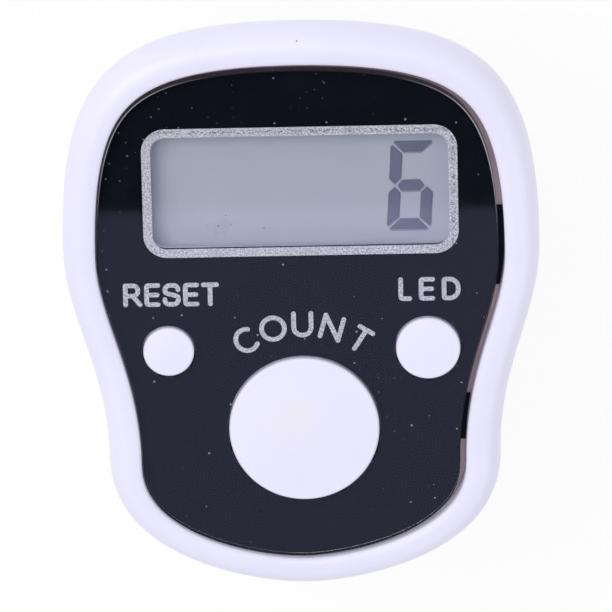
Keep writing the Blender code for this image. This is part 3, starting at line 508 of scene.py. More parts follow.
@dataclass(frozen=True)
class CaseOutline:
    """Outline of the case seen from its face, and the sweeps that follow it."""

    width: float = 34.04 * MM
    height: float = 42.11 * MM
    waist_width: float = 28.12 * MM
    shoulder_y: float = 4.465 * MM
    waist_y: float = -11.445 * MM
    top_pull: float = 13.53 * MM
    shoulder_pull: float = 12.77 * MM
    side_pull: float = 5.27 * MM
    waist_pull: float = 6.98 * MM
    corner_pull: float = 7.45 * MM
    bottom_pull: float = 4.26 * MM
    parting_inset: float = 1.35 * MM
    side_taper: float = 0.36
    steps: int = 36

    def points(self, inset: float) -> list[Vector]:
        """Outline drawn in by an inset, anticlockwise from just left of the top.

        Args:
            inset: Distance from the case's edge.

        Returns:
            The closed outline's points.
        """
        shoulder = self.width / 2, self.shoulder_y
        waist = self.waist_width / 2, self.waist_y
        knots = [
            ((0.0, self.height / 2), NO_PULL, (self.top_pull, 0.0)),
            (shoulder, (0.0, self.shoulder_pull), (0.0, -self.side_pull)),
            (waist, (0.0, self.waist_pull), (0.0, -self.corner_pull)),
            ((0.0, -self.height / 2), (self.bottom_pull, 0.0), NO_PULL),
        ]
        right = smooth_path(knots, self.steps)
        left = [Vector((-point.x, point.y)) for point in right[1:-1]]
        outline = left + list(reversed(right))
        drawn_in = []
        for i, point in enumerate(outline):
            along = outline[(i + 1) % len(outline)] - outline[i - 1]
            drawn_in.append(point + Vector((-along.y, along.x)).normalized() * inset)
        return drawn_in

    def sweep(
        self,
        profile: Sequence[Point],
        shift: Point = (0.0, 0.0),
        span: Point | None = None,
    ) -> Solid:
        """Closed solid swept round the outline.

        Args:
            profile: (Inset, height) steps. The first and the last are filled flat.
            shift: Offset seen from the face.
            span: Insets between which the offset grows. Without them each step has all of it.

        Returns:
            The solid as a bmesh.
        """
        bm = bmesh.new()
        station = bm.verts.layers.int.new("station")
        count = len(self.points(0.0))
        verts = bmesh.ops.create_circle(bm, cap_ends=False, segments=count, radius=1.0)["verts"]
        for i, vert in enumerate(verts):
            vert[station] = i
        edges = bm.edges[:]
        first = edges
        for i, (inset, height) in enumerate(profile):
            if i > 0:
                grown = bmesh.ops.extrude_edge_only(bm, edges=edges)["geom"]
                verts = verts_in(grown)
                new = set(verts)
                edges = [
                    part
                    for part in grown
                    if isinstance(part, bmesh.types.BMEdge) and new.issuperset(part.verts)
                ]
            ring = self.points(inset)
            share = 1.0
            if span is not None:
                share = min(max((inset - span[0]) / (span[1] - span[0]), 0.0), 1.0)
            for vert in verts:
                point = ring[vert[station]]
                vert.co = (point.x + share * shift[0], point.y + share * shift[1], height)
        bmesh.ops.edgeloop_fill(bm, edges=first)
        bmesh.ops.edgeloop_fill(bm, edges=edges)
        return bm


# Effects that several finishes share, as shader node groups


class NodeSheet:
    """Places and links the nodes of one tree."""

    def __init__(self, tree: bpy.types.NodeTree) -> None:
        """Keep the tree to work on."""
        self.tree = tree

    def add(self, kind: str, inputs: dict | None = None, **settings: object) -> Node:
        """Add one node.

        Args:
            kind: Blender's name of the node type.
            inputs: Values or sockets for its inputs, by name or number.
            settings: Properties of the node.

        Returns:
            The node.
        """
        node = self.tree.nodes.new(kind)
        for name, value in settings.items():
            setattr(node, name, value)
        self.feed(node, inputs or {})
        return node

    def feed(self, node: Node, inputs: dict) -> None:
        """Link or set some inputs of a node.

        Args:
            node: The node to feed.
            inputs: Values or sockets by name or number. A colour may leave out its alpha.
        """
        for name, value in inputs.items():
            socket = node.inputs[name]
            if isinstance(value, Socket):
                self.tree.links.new(value, socket)
            elif socket.type == "RGBA" and len(value) == 3:
                socket.default_value = (*value, 1.0)
            else:
                socket.default_value = value

    def maths(self, operation: str, *values: object) -> Socket:
        """Result of a Math node."""
        inputs = dict(enumerate(values))
        return self.add("ShaderNodeMath", inputs, operation=operation).outputs[0]

    def times(self, *factors: object) -> Socket:
        """Product of two factors."""
        return self.maths("MULTIPLY", *factors)

    def away(self, place: object, axis: str, middle: float) -> Socket:
        """How far one coordinate lies from a value."""
        at = self.add("ShaderNodeSeparateXYZ", {0: place}).outputs[axis]
        return self.maths("ABSOLUTE", self.maths("SUBTRACT", at, middle))

    def ramp(self, value: object, low: float, high: float) -> Socket:
        """Smooth step of a value from 0 at low to 1 at high."""
        inputs = {"Value": value, "From Min": low, "From Max": high}
        node = self.add("ShaderNodeMapRange", inputs, interpolation_type="SMOOTHSTEP")
        return node.outputs["Result"]

    def between(self, value: object, low: float, high: float) -> Socket:
        """Value from 0 to 1 spread linearly between two numbers."""
        node = self.add("ShaderNodeMapRange", {"Value": value, "To Min": low, "To Max": high})
        return node.outputs["Result"]

    def mixed(self, share: object, first: object, second: object) -> Socket:
        """Colour between two colours by a share."""
        inputs = {0: share, 6: first, 7: second}
        return self.add("ShaderNodeMix", inputs, data_type="RGBA").outputs[2]

    def either(self, share: object, first: Node, second: Node) -> Node:
        """Mix of the first and the second shader by a share."""
        inputs = {0: share, 1: first.outputs[0], 2: second.outputs[0]}
        return self.add("ShaderNodeMixShader", inputs)

    def noise(self, vector: object, scale: object, detail: float = 3.0) -> Socket:
        """Value of a Noise texture."""
        inputs = {"Vector": vector, "Scale": scale, "Detail": detail}
        return self.add("ShaderNodeTexNoise", inputs).outputs["Fac"]

    def distance(self, place: object, point: Point) -> Socket:
        """Distance from a fixed point."""
        inputs = {0: place, 1: tuple(point)}
        return self.add("ShaderNodeVectorMath", inputs, operation="DISTANCE").outputs["Value"]

    def bump(self, height: object, strength: float, distance: float) -> Socket:
        """Normal of a Bump node."""
        inputs = {"Height": height, "Strength": strength, "Distance": distance}
        return self.add("ShaderNodeBump", inputs).outputs["Normal"]


def new_material(name: str) -> tuple[bpy.types.Material, NodeSheet]:
    """New material and the sheet of its nodes."""
    material = bpy.data.materials.new(name)
    material.use_nodes = True
    return material, NodeSheet(material.node_tree)


def toned(colour: Colour, share: float) -> Colour:
    """Colour with all its parts multiplied by a share."""
    return tuple(share * part for part in colour)


class EffectGroup:
    """Node group with named inputs and outputs, built on first use."""

    name = ""
    inputs: tuple[tuple[str, str, float], ...] = ()
    outputs: tuple[str, ...] = ()

    def build(self, sheet: NodeSheet, given: Sockets) -> Sockets:
        """Make the group's nodes.

        Args:
            sheet: The group's sheet.
            given: The group's input sockets by name.

        Returns:
            The group's results by output name.
        """
        raise NotImplementedError

    def tree(self) -> bpy.types.NodeTree:
        """The group's tree, made once."""
        if self.name in bpy.data.node_groups:
            return bpy.data.node_groups[self.name]
        tree = bpy.data.node_groups.new(self.name, "ShaderNodeTree")
        for label, kind, start in self.inputs:
            socket = tree.interface.new_socket(label, in_out="INPUT", socket_type=kind)
            if kind == "NodeSocketFloat":
                socket.default_value = start
        for label in self.outputs:
            tree.interface.new_socket(label, in_out="OUTPUT", socket_type="NodeSocketFloat")
        sheet = NodeSheet(tree)
        given = sheet.add("NodeGroupInput").outputs
        sheet.add("NodeGroupOutput", self.build(sheet, given))
        return tree

    def use(self, sheet: NodeSheet, **inputs: object) -> Sockets:
        """Place the group in a material.

        Args:
            sheet: The material's sheet.
            inputs: Values or sockets by input name, with _ for a space.

        Returns:
            The group's output sockets by name.
        """
        named = {name.replace("_", " "): value for name, value in inputs.items()}
        node = sheet.add("ShaderNodeGroup", named, node_tree=self.tree())
        return {label: node.outputs[label] for label in self.outputs}


class MouldedGrain(EffectGroup):
    """Fine grain of a moulded surface, with slow clouds of tone and flow."""

    name = "moulded_grain"
    inputs = (
        ("Vector", "NodeSocketVector", 0.0),
        ("Grain Scale", "NodeSocketFloat", 6000.0),
        ("Cloud Scale", "NodeSocketFloat", 160.0),
    )
    outputs = ("Height", "Cloud", "Gloss")

    def build(self, sheet: NodeSheet, given: Sockets) -> Sockets:
        """Two noises for the grain, one for the clouds, one for the gloss."""
        vector = given["Vector"]
        fine = sheet.noise(vector, given["Grain Scale"], 2.0)
        coarse_scale = sheet.times(given["Grain Scale"], 0.18)
        coarse = sheet.noise(vector, coarse_scale, 3.0)
        height = sheet.maths("ADD", sheet.times(fine, 0.7), coarse)
        cloud = sheet.ramp(sheet.noise(vector, given["Cloud Scale"], 4.0), 0.32, 0.68)
        gloss_scale = sheet.times(given["Cloud Scale"], 3.1)
        gloss = sheet.noise(vector, gloss_scale, 5.0)
        return {"Height": height, "Cloud": cloud, "Gloss": gloss}


class HandlingMarks(EffectGroup):
    """Hairline scratches in two directions, in patches."""

    name = "handling_marks"
    directions = ((0.6, 0.09), (-1.1, 0.14))
    inputs = (
        ("Vector", "NodeSocketVector", 0.0),
        ("Scale", "NodeSocketFloat", 260.0),
        ("Width", "NodeSocketFloat", 0.018),
        ("Spread", "NodeSocketFloat", 0.62),
    )
    outputs = ("Mask",)

    def build(self, sheet: NodeSheet, given: Sockets) -> Sockets:
        """Stretched cells whose borders are the scratches, kept only in patches."""
        vector = given["Vector"]
        lines = []
        for turn, stretch in self.directions:
            inputs = {"Rotation": (0.0, 0.0, turn), "Scale": (1.0, stretch, 1.0)}
            turned = sheet.add("ShaderNodeMapping", {"Vector": vector, **inputs})
            inputs = {"Vector": turned.outputs[0], "Scale": given["Scale"]}
            kind = {"voronoi_dimensions": "2D", "feature": "DISTANCE_TO_EDGE"}
            border = sheet.add("ShaderNodeTexVoronoi", inputs, **kind).outputs["Distance"]
            lines.append(sheet.maths("LESS_THAN", border, given["Width"]))
        crossed = sheet.maths("MAXIMUM", *lines)
        patch_scale = sheet.times(given["Scale"], 1.7)
        patches = sheet.noise(vector, patch_scale, 2.0)
        kept = sheet.maths("GREATER_THAN", patches, given["Spread"])
        return {"Mask": sheet.times(crossed, kept)}


class DustSpecks(EffectGroup):
    """Scattered specks of uneven size."""

    name = "dust_specks"
    wobble = 0.08 * MM
    inputs = (
        ("Vector", "NodeSocketVector", 0.0),
        ("Scale", "NodeSocketFloat", 420.0),
        ("Size", "NodeSocketFloat", 0.05),
        ("Share", "NodeSocketFloat", 0.2),
    )
    outputs = ("Mask",)

    def build(self, sheet: NodeSheet, given: Sockets) -> Sockets:
        """A dot in a share of the cells, each with a size of its own."""
        vector = given["Vector"]
        noise = sheet.add("ShaderNodeTexNoise", {"Vector": vector, "Scale": 9000.0})
        inputs = {0: noise.outputs["Color"], 1: (self.wobble,) * 3, 2: vector}
        moved = sheet.add("ShaderNodeVectorMath", inputs, operation="MULTIPLY_ADD")
        inputs = {"Vector": moved.outputs[0], "Scale": given["Scale"]}
        cells = sheet.add("ShaderNodeTexVoronoi", inputs, voronoi_dimensions="2D")
        chance = sheet.add("ShaderNodeSeparateColor", {0: cells.outputs["Color"]})
        size = sheet.times(chance.outputs[1], given["Size"])
        dot = sheet.maths("LESS_THAN", cells.outputs["Distance"], size)
        chosen = sheet.maths("LESS_THAN", chance.outputs[0], given["Share"])
        return {"Mask": sheet.times(dot, chosen)}


class InkMottle(EffectGroup):
    """Uneven cover of a printed metallic ink."""

    name = "ink_mottle"
    inputs = (
        ("Vector", "NodeSocketVector", 0.0),
        ("Scale", "NodeSocketFloat", 8000.0),
    )
    outputs = ("Flake", "Thin")

    def build(self, sheet: NodeSheet, given: Sockets) -> Sockets:
        """Fine flakes, and thin places along slow patches."""
        vector = given["Vector"]
        flake = sheet.noise(vector, given["Scale"], 4.0)
        patch_scale = sheet.times(given["Scale"], 0.09)
        patch = sheet.noise(vector, patch_scale, 3.0)
        thin = sheet.times(sheet.ramp(flake, 0.56, 0.66), sheet.ramp(patch, 0.46, 0.62))
        return {"Flake": sheet.ramp(flake, 0.38, 0.62), "Thin": thin}


GRAIN = MouldedGrain()
MARKS = HandlingMarks()
DUST = DustSpecks()
MOTTLE = InkMottle()


# Finishes


@dataclass(frozen=True)
class Finish:
    """A named material that is made once."""

    name: str

    def dress(self, sheet: NodeSheet, place: Socket) -> Inputs:
        """Make the finish's nodes.

        Args:
            sheet: The material's sheet.
            place: Object coordinates.

        Returns:
            The shader's inputs by name.
        """
        raise NotImplementedError

    def material(self) -> bpy.types.Material:
        """The material, made on first use."""
        if self.name in bpy.data.materials:
            return bpy.data.materials[self.name]
        material, sheet = new_material(self.name)
        place = sheet.add("ShaderNodeTexCoord").outputs["Object"]
        sheet.feed(sheet.tree.nodes["Principled BSDF"], self.dress(sheet, place))
        return material


@dataclass(frozen=True)
class MouldedPlastic(Finish):
    """Moulded plastic or elastomer: satin grain, clouded tone, hairline marks, and round colour
    spots where asked, which are a warm tint on the count button and painted highlights on the
    panel's cut edge.
    """

    base: Colour
    cloud: Colour
    roughness: Point
    grain_scale: float = 6500.0
    grain_depth: float = 0.006 * MM
    grain_strength: float = 0.35
    mark_share: float = 0.05
    mark_tone: float = 0.82
    mark_gloss: float = 0.1
    specular: float = 0.5
    specks: float = 0.0
    speck: Colour = (0.2, 0.18, 0.2)
    tints_and_painted_highlights: tuple[tuple[float, float, float, float], ...] = ()
    tint_and_highlight_colour: Colour = (0.84, 0.82, 0.87)
    tint_and_highlight_share: float = 0.55

    def dress(self, sheet: NodeSheet, place: Socket) -> Inputs:
        """Tone from the clouds, gloss from wear, relief from the grain."""
        grain = GRAIN.use(sheet, Vector=place, Grain_Scale=self.grain_scale)
        marks = MARKS.use(sheet, Vector=place)["Mask"]
        colour = sheet.mixed(grain["Cloud"], self.base, self.cloud)
        # Round spots that fade out from a point: a warm tint on the count button, and painted
        # highlights on the panel's cut edge.
        for *at, radius in self.tints_and_painted_highlights:
            tint_and_highlight_mask = sheet.ramp(sheet.distance(place, at), radius, 0.0)
            colour = sheet.mixed(sheet.times(tint_and_highlight_mask, self.tint_and_highlight_share), colour, self.tint_and_highlight_colour)
        faint = sheet.times(marks, self.mark_share)
        colour = sheet.mixed(faint, colour, toned(self.base, self.mark_tone))
        if self.specks > 0.0:
            dots = DUST.use(sheet, Vector=place, Scale=330.0, Size=0.026, Share=self.specks)
            colour = sheet.mixed(dots["Mask"], colour, self.speck)
        gloss = sheet.between(grain["Gloss"], *self.roughness)
        return {
            "Base Color": colour,
            "Roughness": sheet.maths("ADD", gloss, sheet.times(marks, self.mark_gloss)),
            "Normal": sheet.bump(grain["Height"], self.grain_strength, self.grain_depth),
            "Specular IOR Level": self.specular,
        }


@dataclass(frozen=True)
class ClearAcrylic(Finish):
    """Polished clear acrylic with hairline scratches and faint haze."""

    base: Colour = (0.97, 0.965, 0.96)
    cloud_tone: float = 0.985
    roughness: Point = (0.015, 0.05)
    mark_gloss: float = 0.06
    mark_strength: float = 0.05
    mark_depth: float = 0.0005 * MM
    refraction: float = 1.49
    shadow_cover: float = 0.08

    def dress(self, sheet: NodeSheet, place: Socket) -> Inputs:
        """Glass that lets the lamps through, dulled where it is scratched."""
        grain = GRAIN.use(sheet, Vector=place, Grain_Scale=2600.0, Cloud_Scale=240.0)
        marks = MARKS.use(sheet, Vector=place, Scale=330.0, Width=0.004, Spread=0.64)["Mask"]
        haze = sheet.between(grain["Gloss"], *self.roughness)
        in_shadow = sheet.add("ShaderNodeLightPath").outputs["Is Shadow Ray"]
        grooves = sheet.times(marks, -1.0)
        return {
            "Roughness": sheet.maths("ADD", haze, sheet.times(marks, self.mark_gloss)),
            "Base Color": sheet.mixed(grain["Cloud"], self.base, toned(self.base, self.cloud_tone)),
            "Normal": sheet.bump(grooves, self.mark_strength, self.mark_depth),
            "Transmission Weight": 1.0,
            "IOR": self.refraction,
            "Alpha": sheet.between(in_shadow, 1.0, self.shadow_cover),
        }


@dataclass(frozen=True)
class PrintedInk(Finish):
    """Screen-printed ink seen through the panel, with dust on the face above it."""

    base: Colour
    cloud: Colour
    roughness: float = 0.45
    gloss_spread: float = 0.08
    relief_strength: float = 0.2
    relief_depth: float = 0.003 * MM
    metallic: float = 0.0
    specular: float = 0.0
    mottle: float = 0.0
    bright: Colour = (0.7, 0.7, 0.8)
    thin: Colour = (0.13, 0.13, 0.16)
    thin_share: float = 0.5
    worn_at: Point | None = None
    worn_half: Point = (0.24 * MM, 0.03 * MM)
    worn_share: float = 0.85
    dust: Colour | None = None
    mote_share: float = 0.5
    dusty_at: Point = (-13 * MM, 13 * MM, 27 * MM)
    dusty_radii: Point = (11 * MM, 2 * MM)
    fade: str = ""

    def dress(self, sheet: NodeSheet, place: Socket) -> Inputs:
        """Even or flaky ink, thin in places, dusty where asked, faded by an attribute."""
        grain = GRAIN.use(sheet, Vector=place, Grain_Scale=4200.0, Cloud_Scale=330.0)
        colour = sheet.mixed(grain["Cloud"], self.base, self.cloud)
        if self.mottle > 0.0:
            ink = MOTTLE.use(sheet, Vector=place)
            colour = sheet.mixed(sheet.times(ink["Flake"], self.mottle), colour, self.bright)
            bare = sheet.times(ink["Thin"], self.thin_share)
            if self.worn_at is not None:
                bare = sheet.maths("MAXIMUM", bare, self.worn(sheet, place))
            colour = sheet.mixed(bare, colour, self.thin)
        if self.dust is not None:
            colour = sheet.mixed(self.dusty(sheet, place), colour, self.dust)
        low, high = self.roughness - self.gloss_spread, self.roughness + self.gloss_spread
        inputs = {
            "Base Color": colour,
            "Roughness": sheet.between(grain["Gloss"], low, high),
            "Normal": sheet.bump(grain["Height"], self.relief_strength, self.relief_depth),
            "Metallic": self.metallic,
            "Specular IOR Level": self.specular,
        }
        if self.fade:
            ink = sheet.add("ShaderNodeAttribute", attribute_name=self.fade).outputs["Fac"]
            inputs["Alpha"] = sheet.ramp(ink, 0.0, 1.0)
        return inputs

    def dusty(self, sheet: NodeSheet, place: Socket) -> Socket:
        """Mask of scattered specks, with fine motes in patches and in one corner.

        Args:
            sheet: The material's sheet.
            place: Object coordinates.

        Returns:
            The mask.
        """
        specks = DUST.use(sheet, Vector=place, Scale=560.0, Size=0.045, Share=0.38)["Mask"]
        motes = DUST.use(sheet, Vector=place, Scale=1700.0, Size=0.13, Share=0.3)["Mask"]
        patch = sheet.ramp(sheet.noise(place, 190.0, 2.0), 0.5, 0.8)
        corner = sheet.ramp(sheet.distance(place, self.dusty_at), *self.dusty_radii)
        patch = sheet.maths("MAXIMUM", patch, corner)
        faint = sheet.times(sheet.times(motes, patch), self.mote_share)
        return sheet.maths("MAXIMUM", specks, faint)

    def worn(self, sheet: NodeSheet, place: Socket) -> Socket:
        """Mask of speckled wear along the middle of the frame's top and right sides.

        Args:
            sheet: The material's sheet.
            place: Object coordinates.

        Returns:
            The mask.
        """
        sides = [
            sheet.ramp(sheet.away(place, axis, middle), *self.worn_half)
            for axis, middle in zip("XY", self.worn_at)
        ]
        band = sheet.maths("MAXIMUM", *sides)
        speckle = sheet.ramp(sheet.noise(place, 7000.0, 2.0), 0.5, 0.62)
        return sheet.times(sheet.times(band, speckle), self.worn_share)


@dataclass(frozen=True)
class DisplayFilm(Finish):
    """Grey polarising film: slow clouds, a few dark specks and a satin face."""

    base: Colour
    cloud: Colour
    speck: Colour = (0.12, 0.12, 0.14)
    speck_share: float = 0.6
    roughness: Point = (0.24, 0.36)
    relief_strength: float = 0.05
    relief_depth: float = 0.0005 * MM
    blots: tuple[tuple[float, float, float], ...] = ()
    smudge_at: Point | None = None
    smudge_half: Point = (3.3 * MM, 0.24 * MM)
    smudge_share: float = 0.4
    smudge_core: float = 0.6

    def dress(self, sheet: NodeSheet, place: Socket) -> Inputs:
        """Slow blue-grey clouds with scattered specks, blots and a smudge where asked."""
        grain = GRAIN.use(sheet, Vector=place, Grain_Scale=5200.0, Cloud_Scale=90.0)
        specks = DUST.use(sheet, Vector=place, Scale=700.0, Size=0.05, Share=0.03)["Mask"]
        colour = sheet.mixed(grain["Cloud"], self.base, self.cloud)
        colour = sheet.mixed(sheet.times(specks, self.speck_share), colour, self.speck)
        middle = centre_of("front_polariser")
        for x, y, radius in self.blots:
            point = (middle.x + x, middle.y + y, top_of("front_polariser"))
            blot = sheet.ramp(sheet.distance(place, point), radius, radius / 2)
            colour = sheet.mixed(blot, colour, self.speck)
        if self.smudge_at is not None:
            smudge = self.smudge(sheet, place, middle + Vector(self.smudge_at))
            colour = sheet.mixed(smudge, colour, self.speck)
        return {
            "Base Color": colour,
            "Roughness": sheet.between(grain["Gloss"], *self.roughness),
            "Normal": sheet.bump(grain["Height"], self.relief_strength, self.relief_depth),
        }

    def smudge(self, sheet: NodeSheet, place: Socket, middle: Vector) -> Socket:
        """Row of faint specks along the lower edge of the window.

        Args:
            sheet: The material's sheet.
            place: Object coordinates.
            middle: Middle of the row.

        Returns:
            Mask of the specks.
        """
        mask = DUST.use(sheet, Vector=place, Scale=2600.0, Size=0.4, Share=0.4)["Mask"]
        mask = sheet.times(mask, self.smudge_share)
        for axis, at, half in zip("XY", middle, self.smudge_half):
            fall = sheet.ramp(sheet.away(place, axis, at), half, self.smudge_core * half)
            mask = sheet.times(mask, fall)
        return mask


@dataclass(frozen=True)
class PlatedMetal(Finish):
    """Plated or drawn metal: fine brushing, tarnish clouds and small pits."""

    base: Colour
    tarnish: Colour
    roughness: Point
    brush_along: Point = (1.0, 1.0, 0.08)
    pit_share: float = 0.5
    pit_depth: float = 0.6
    relief_strength: float = 0.3
    relief_depth: float = 0.004 * MM

    def dress(self, sheet: NodeSheet, place: Socket) -> Inputs:
        """Stretched noise for the brushing, clouds for the tarnish."""
        mapping = {"Vector": place, "Scale": self.brush_along}
        stretched = sheet.add("ShaderNodeMapping", mapping).outputs[0]
        brushing = sheet.noise(stretched, 9000.0, 2.0)
        grain = GRAIN.use(sheet, Vector=place, Grain_Scale=8000.0, Cloud_Scale=700.0)
        pits = DUST.use(sheet, Vector=place, Scale=2600.0, Size=0.1, Share=0.2)["Mask"]
        colour = sheet.mixed(grain["Cloud"], self.base, self.tarnish)
        relief = sheet.maths("SUBTRACT", brushing, sheet.times(pits, self.pit_depth))
        return {
            "Base Color": sheet.mixed(sheet.times(pits, self.pit_share), colour, self.tarnish),
            "Roughness": sheet.between(brushing, *self.roughness),
            "Normal": sheet.bump(relief, self.relief_strength, self.relief_depth),
            "Metallic": 1.0,
        }


@dataclass(frozen=True)
class BoardLacquer(Finish):
    """Green lacquer over copper tracks, with bare plated pads."""

    base: Colour = (0.02, 0.16, 0.06)
    track: Colour = (0.04, 0.27, 0.1)
    pad: Colour = (0.62, 0.48, 0.2)
    roughness: Point = (0.25, 0.45)
    grain_share: float = 0.2
    relief_strength: float = 0.4
    relief_depth: float = 0.02 * MM

    def dress(self, sheet: NodeSheet, place: Socket) -> Inputs:
        """Square cells for the tracks, dots for the through holes."""
        bricks = {"Vector": place, "Scale": 420.0, "Mortar Size": 0.05}
        bricks.update({"Color1": BLACK, "Color2": BLACK, "Mortar": WHITE})
        tracks = sheet.add("ShaderNodeTexBrick", bricks).outputs["Color"]
        copper = sheet.add("ShaderNodeSeparateColor", {0: tracks}).outputs[0]
        holes = DUST.use(sheet, Vector=place, Scale=450.0, Size=0.3, Share=0.14)["Mask"]
        grain = GRAIN.use(sheet, Vector=place, Grain_Scale=5000.0, Cloud_Scale=300.0)
        relief = sheet.maths("ADD", copper, sheet.times(grain["Height"], self.grain_share))
        return {
            "Base Color": sheet.mixed(holes, sheet.mixed(copper, self.base, self.track), self.pad),
            "Roughness": sheet.between(grain["Gloss"], *self.roughness),
            "Normal": sheet.bump(relief, self.relief_strength, self.relief_depth),
        }


@dataclass(frozen=True)
class ClearPart(Finish):
    """Clear glass or acrylic part inside the case, with frosted dots."""

    base: Colour
    roughness: float
    dots: float
    cloud_tone: float = 0.97
    frost: float = 0.5
    transmission: float = 0.9
    refraction: float = 1.5
    dot_strength: float = 0.3
    dot_depth: float = 0.01 * MM

    def dress(self, sheet: NodeSheet, place: Socket) -> Inputs:
        """Plain transmission with a frosted dot pattern in its roughness."""
        grain = GRAIN.use(sheet, Vector=place, Grain_Scale=3000.0, Cloud_Scale=300.0)
        dots = DUST.use(sheet, Vector=place, Scale=1300.0, Size=0.3, Share=self.dots)["Mask"]
        return {
            "Roughness": sheet.maths("MULTIPLY_ADD", dots, self.frost, self.roughness),
            "Base Color": sheet.mixed(grain["Cloud"], self.base, toned(self.base, self.cloud_tone)),
            "Normal": sheet.bump(dots, self.dot_strength, self.dot_depth),
            "Transmission Weight": self.transmission,
            "IOR": self.refraction,
        }


SHELL_WHITE = MouldedPlastic(
    "shell_white", (0.82, 0.8, 0.98), (0.8, 0.78, 0.96), (0.3, 0.42), specks=0.12
)
BUTTON_WHITE = MouldedPlastic(
    "button_white", (0.83, 0.81, 0.985), (0.815, 0.795, 0.97), (0.36, 0.48), grain_scale=8200.0
)
BAND_WHITE = MouldedPlastic(
    "band_elastomer", (0.78, 0.77, 0.88), (0.76, 0.75, 0.85), (0.55, 0.7),
    grain_scale=3600.0, grain_depth=0.012 * MM,
)
RUBBER_GREY = MouldedPlastic(
    "keypad_rubber_grey", (0.35, 0.36, 0.38), (0.31, 0.32, 0.34), (0.6, 0.8), grain_scale=4200.0
)
RUBBER_BLACK = MouldedPlastic(
    "conductive_rubber_black", (0.05, 0.05, 0.06), (0.035, 0.035, 0.04), (0.55, 0.75)
)
RESIN_BLACK = MouldedPlastic(
    "potting_resin", (0.012, 0.012, 0.012), (0.02, 0.02, 0.02), (0.12, 0.3), grain_scale=900.0,
    grain_depth=0.03 * MM,
)
CERAMIC = MouldedPlastic("chip_ceramic", (0.06, 0.06, 0.06), (0.09, 0.085, 0.08), (0.4, 0.6))
LAMP_BODY = MouldedPlastic("lamp_body", (0.9, 0.88, 0.7), (0.86, 0.84, 0.62), (0.2, 0.35))
# Tape under the panel. The tape is real; its mauve-brown tone where it shows under the clear margin
# is painted shade for the shaded white ledge seen there.
TAPE_WITH_PAINTED_SHADE = MouldedPlastic("adhesive_sheet_painted_shade", (0.36, 0.28, 0.32), (0.27, 0.21, 0.24), (0.7, 0.9))
PANEL_CLEAR = ClearAcrylic("panel_acrylic")
PRINT_BLACK = PrintedInk(
    "panel_print_black", (0.0055, 0.0065, 0.0105), (0.007, 0.008, 0.0125), dust=(0.32, 0.33, 0.36)
)
# Dark cut edge of the panel. Its two round light spots at the upper right and upper left are
# painted highlights, where the bevel catches the light.
CUT_EDGE = MouldedPlastic(
    "panel_cut_edge", (0.015, 0.015, 0.02), (0.012, 0.012, 0.016), (0.4, 0.6),
    tints_and_painted_highlights=(
        (12.4 * MM, 12.6 * MM, top_of("front_panel"), 8.5 * MM),
        (-11.8 * MM, 12.8 * MM, top_of("front_panel"), 8.0 * MM),
    ),
    tint_and_highlight_colour=(0.5, 0.5, 0.55), tint_and_highlight_share=0.9, specular=0.1,
)
PRINT_SILVER = PrintedInk(
    "panel_print_silver", (0.43, 0.43, 0.53), (0.5, 0.5, 0.61), mottle=0.95, bright=(0.9, 0.9, 1.0)
)
DISPLAY_GREY = DisplayFilm(
    "display_film", (0.468, 0.512, 0.615), (0.484, 0.518, 0.615),
    blots=(
        (-5.9 * MM, -2.98 * MM, 0.085 * MM),
        (-5.35 * MM, -2.2 * MM, 0.06 * MM),
        (2.83 * MM, 1.6 * MM, 0.05 * MM),
    ),
    smudge_at=(-3.7 * MM, -3.05 * MM),
)
FILM_GREY = DisplayFilm("rear_film", (0.36, 0.39, 0.45), (0.33, 0.36, 0.42))
DIGIT_DARK = PrintedInk(
    "display_segment", (0.17, 0.192, 0.282), (0.18, 0.202, 0.292), roughness=0.35, fade="ink"
)
DIGIT_SHADOW = PrintedInk(
    "display_segment_shadow", (0.36, 0.41, 0.53), (0.375, 0.42, 0.54), roughness=0.35,
    fade="ink",
)
GLASS = ClearPart("display_glass", (0.86, 0.9, 0.94), 0.03, 0.0)
GUIDE = ClearPart("guide_acrylic", (0.9, 0.93, 0.95), 0.12, 0.6)
BOARD = BoardLacquer("board_lacquer")
SCREW_STEEL = PlatedMetal("screw_zinc", (0.5, 0.5, 0.51), (0.36, 0.36, 0.35), (0.25, 0.45))
CELL_STEEL = PlatedMetal(
    "cell_can", (0.64, 0.64, 0.62), (0.5, 0.5, 0.48), (0.18, 0.34), brush_along=(0.08, 1.0, 1.0)
)
CONTACT_NICKEL = PlatedMetal("contact_nickel", (0.68, 0.66, 0.6), (0.5, 0.47, 0.4), (0.2, 0.4))


# Sub-assemblies


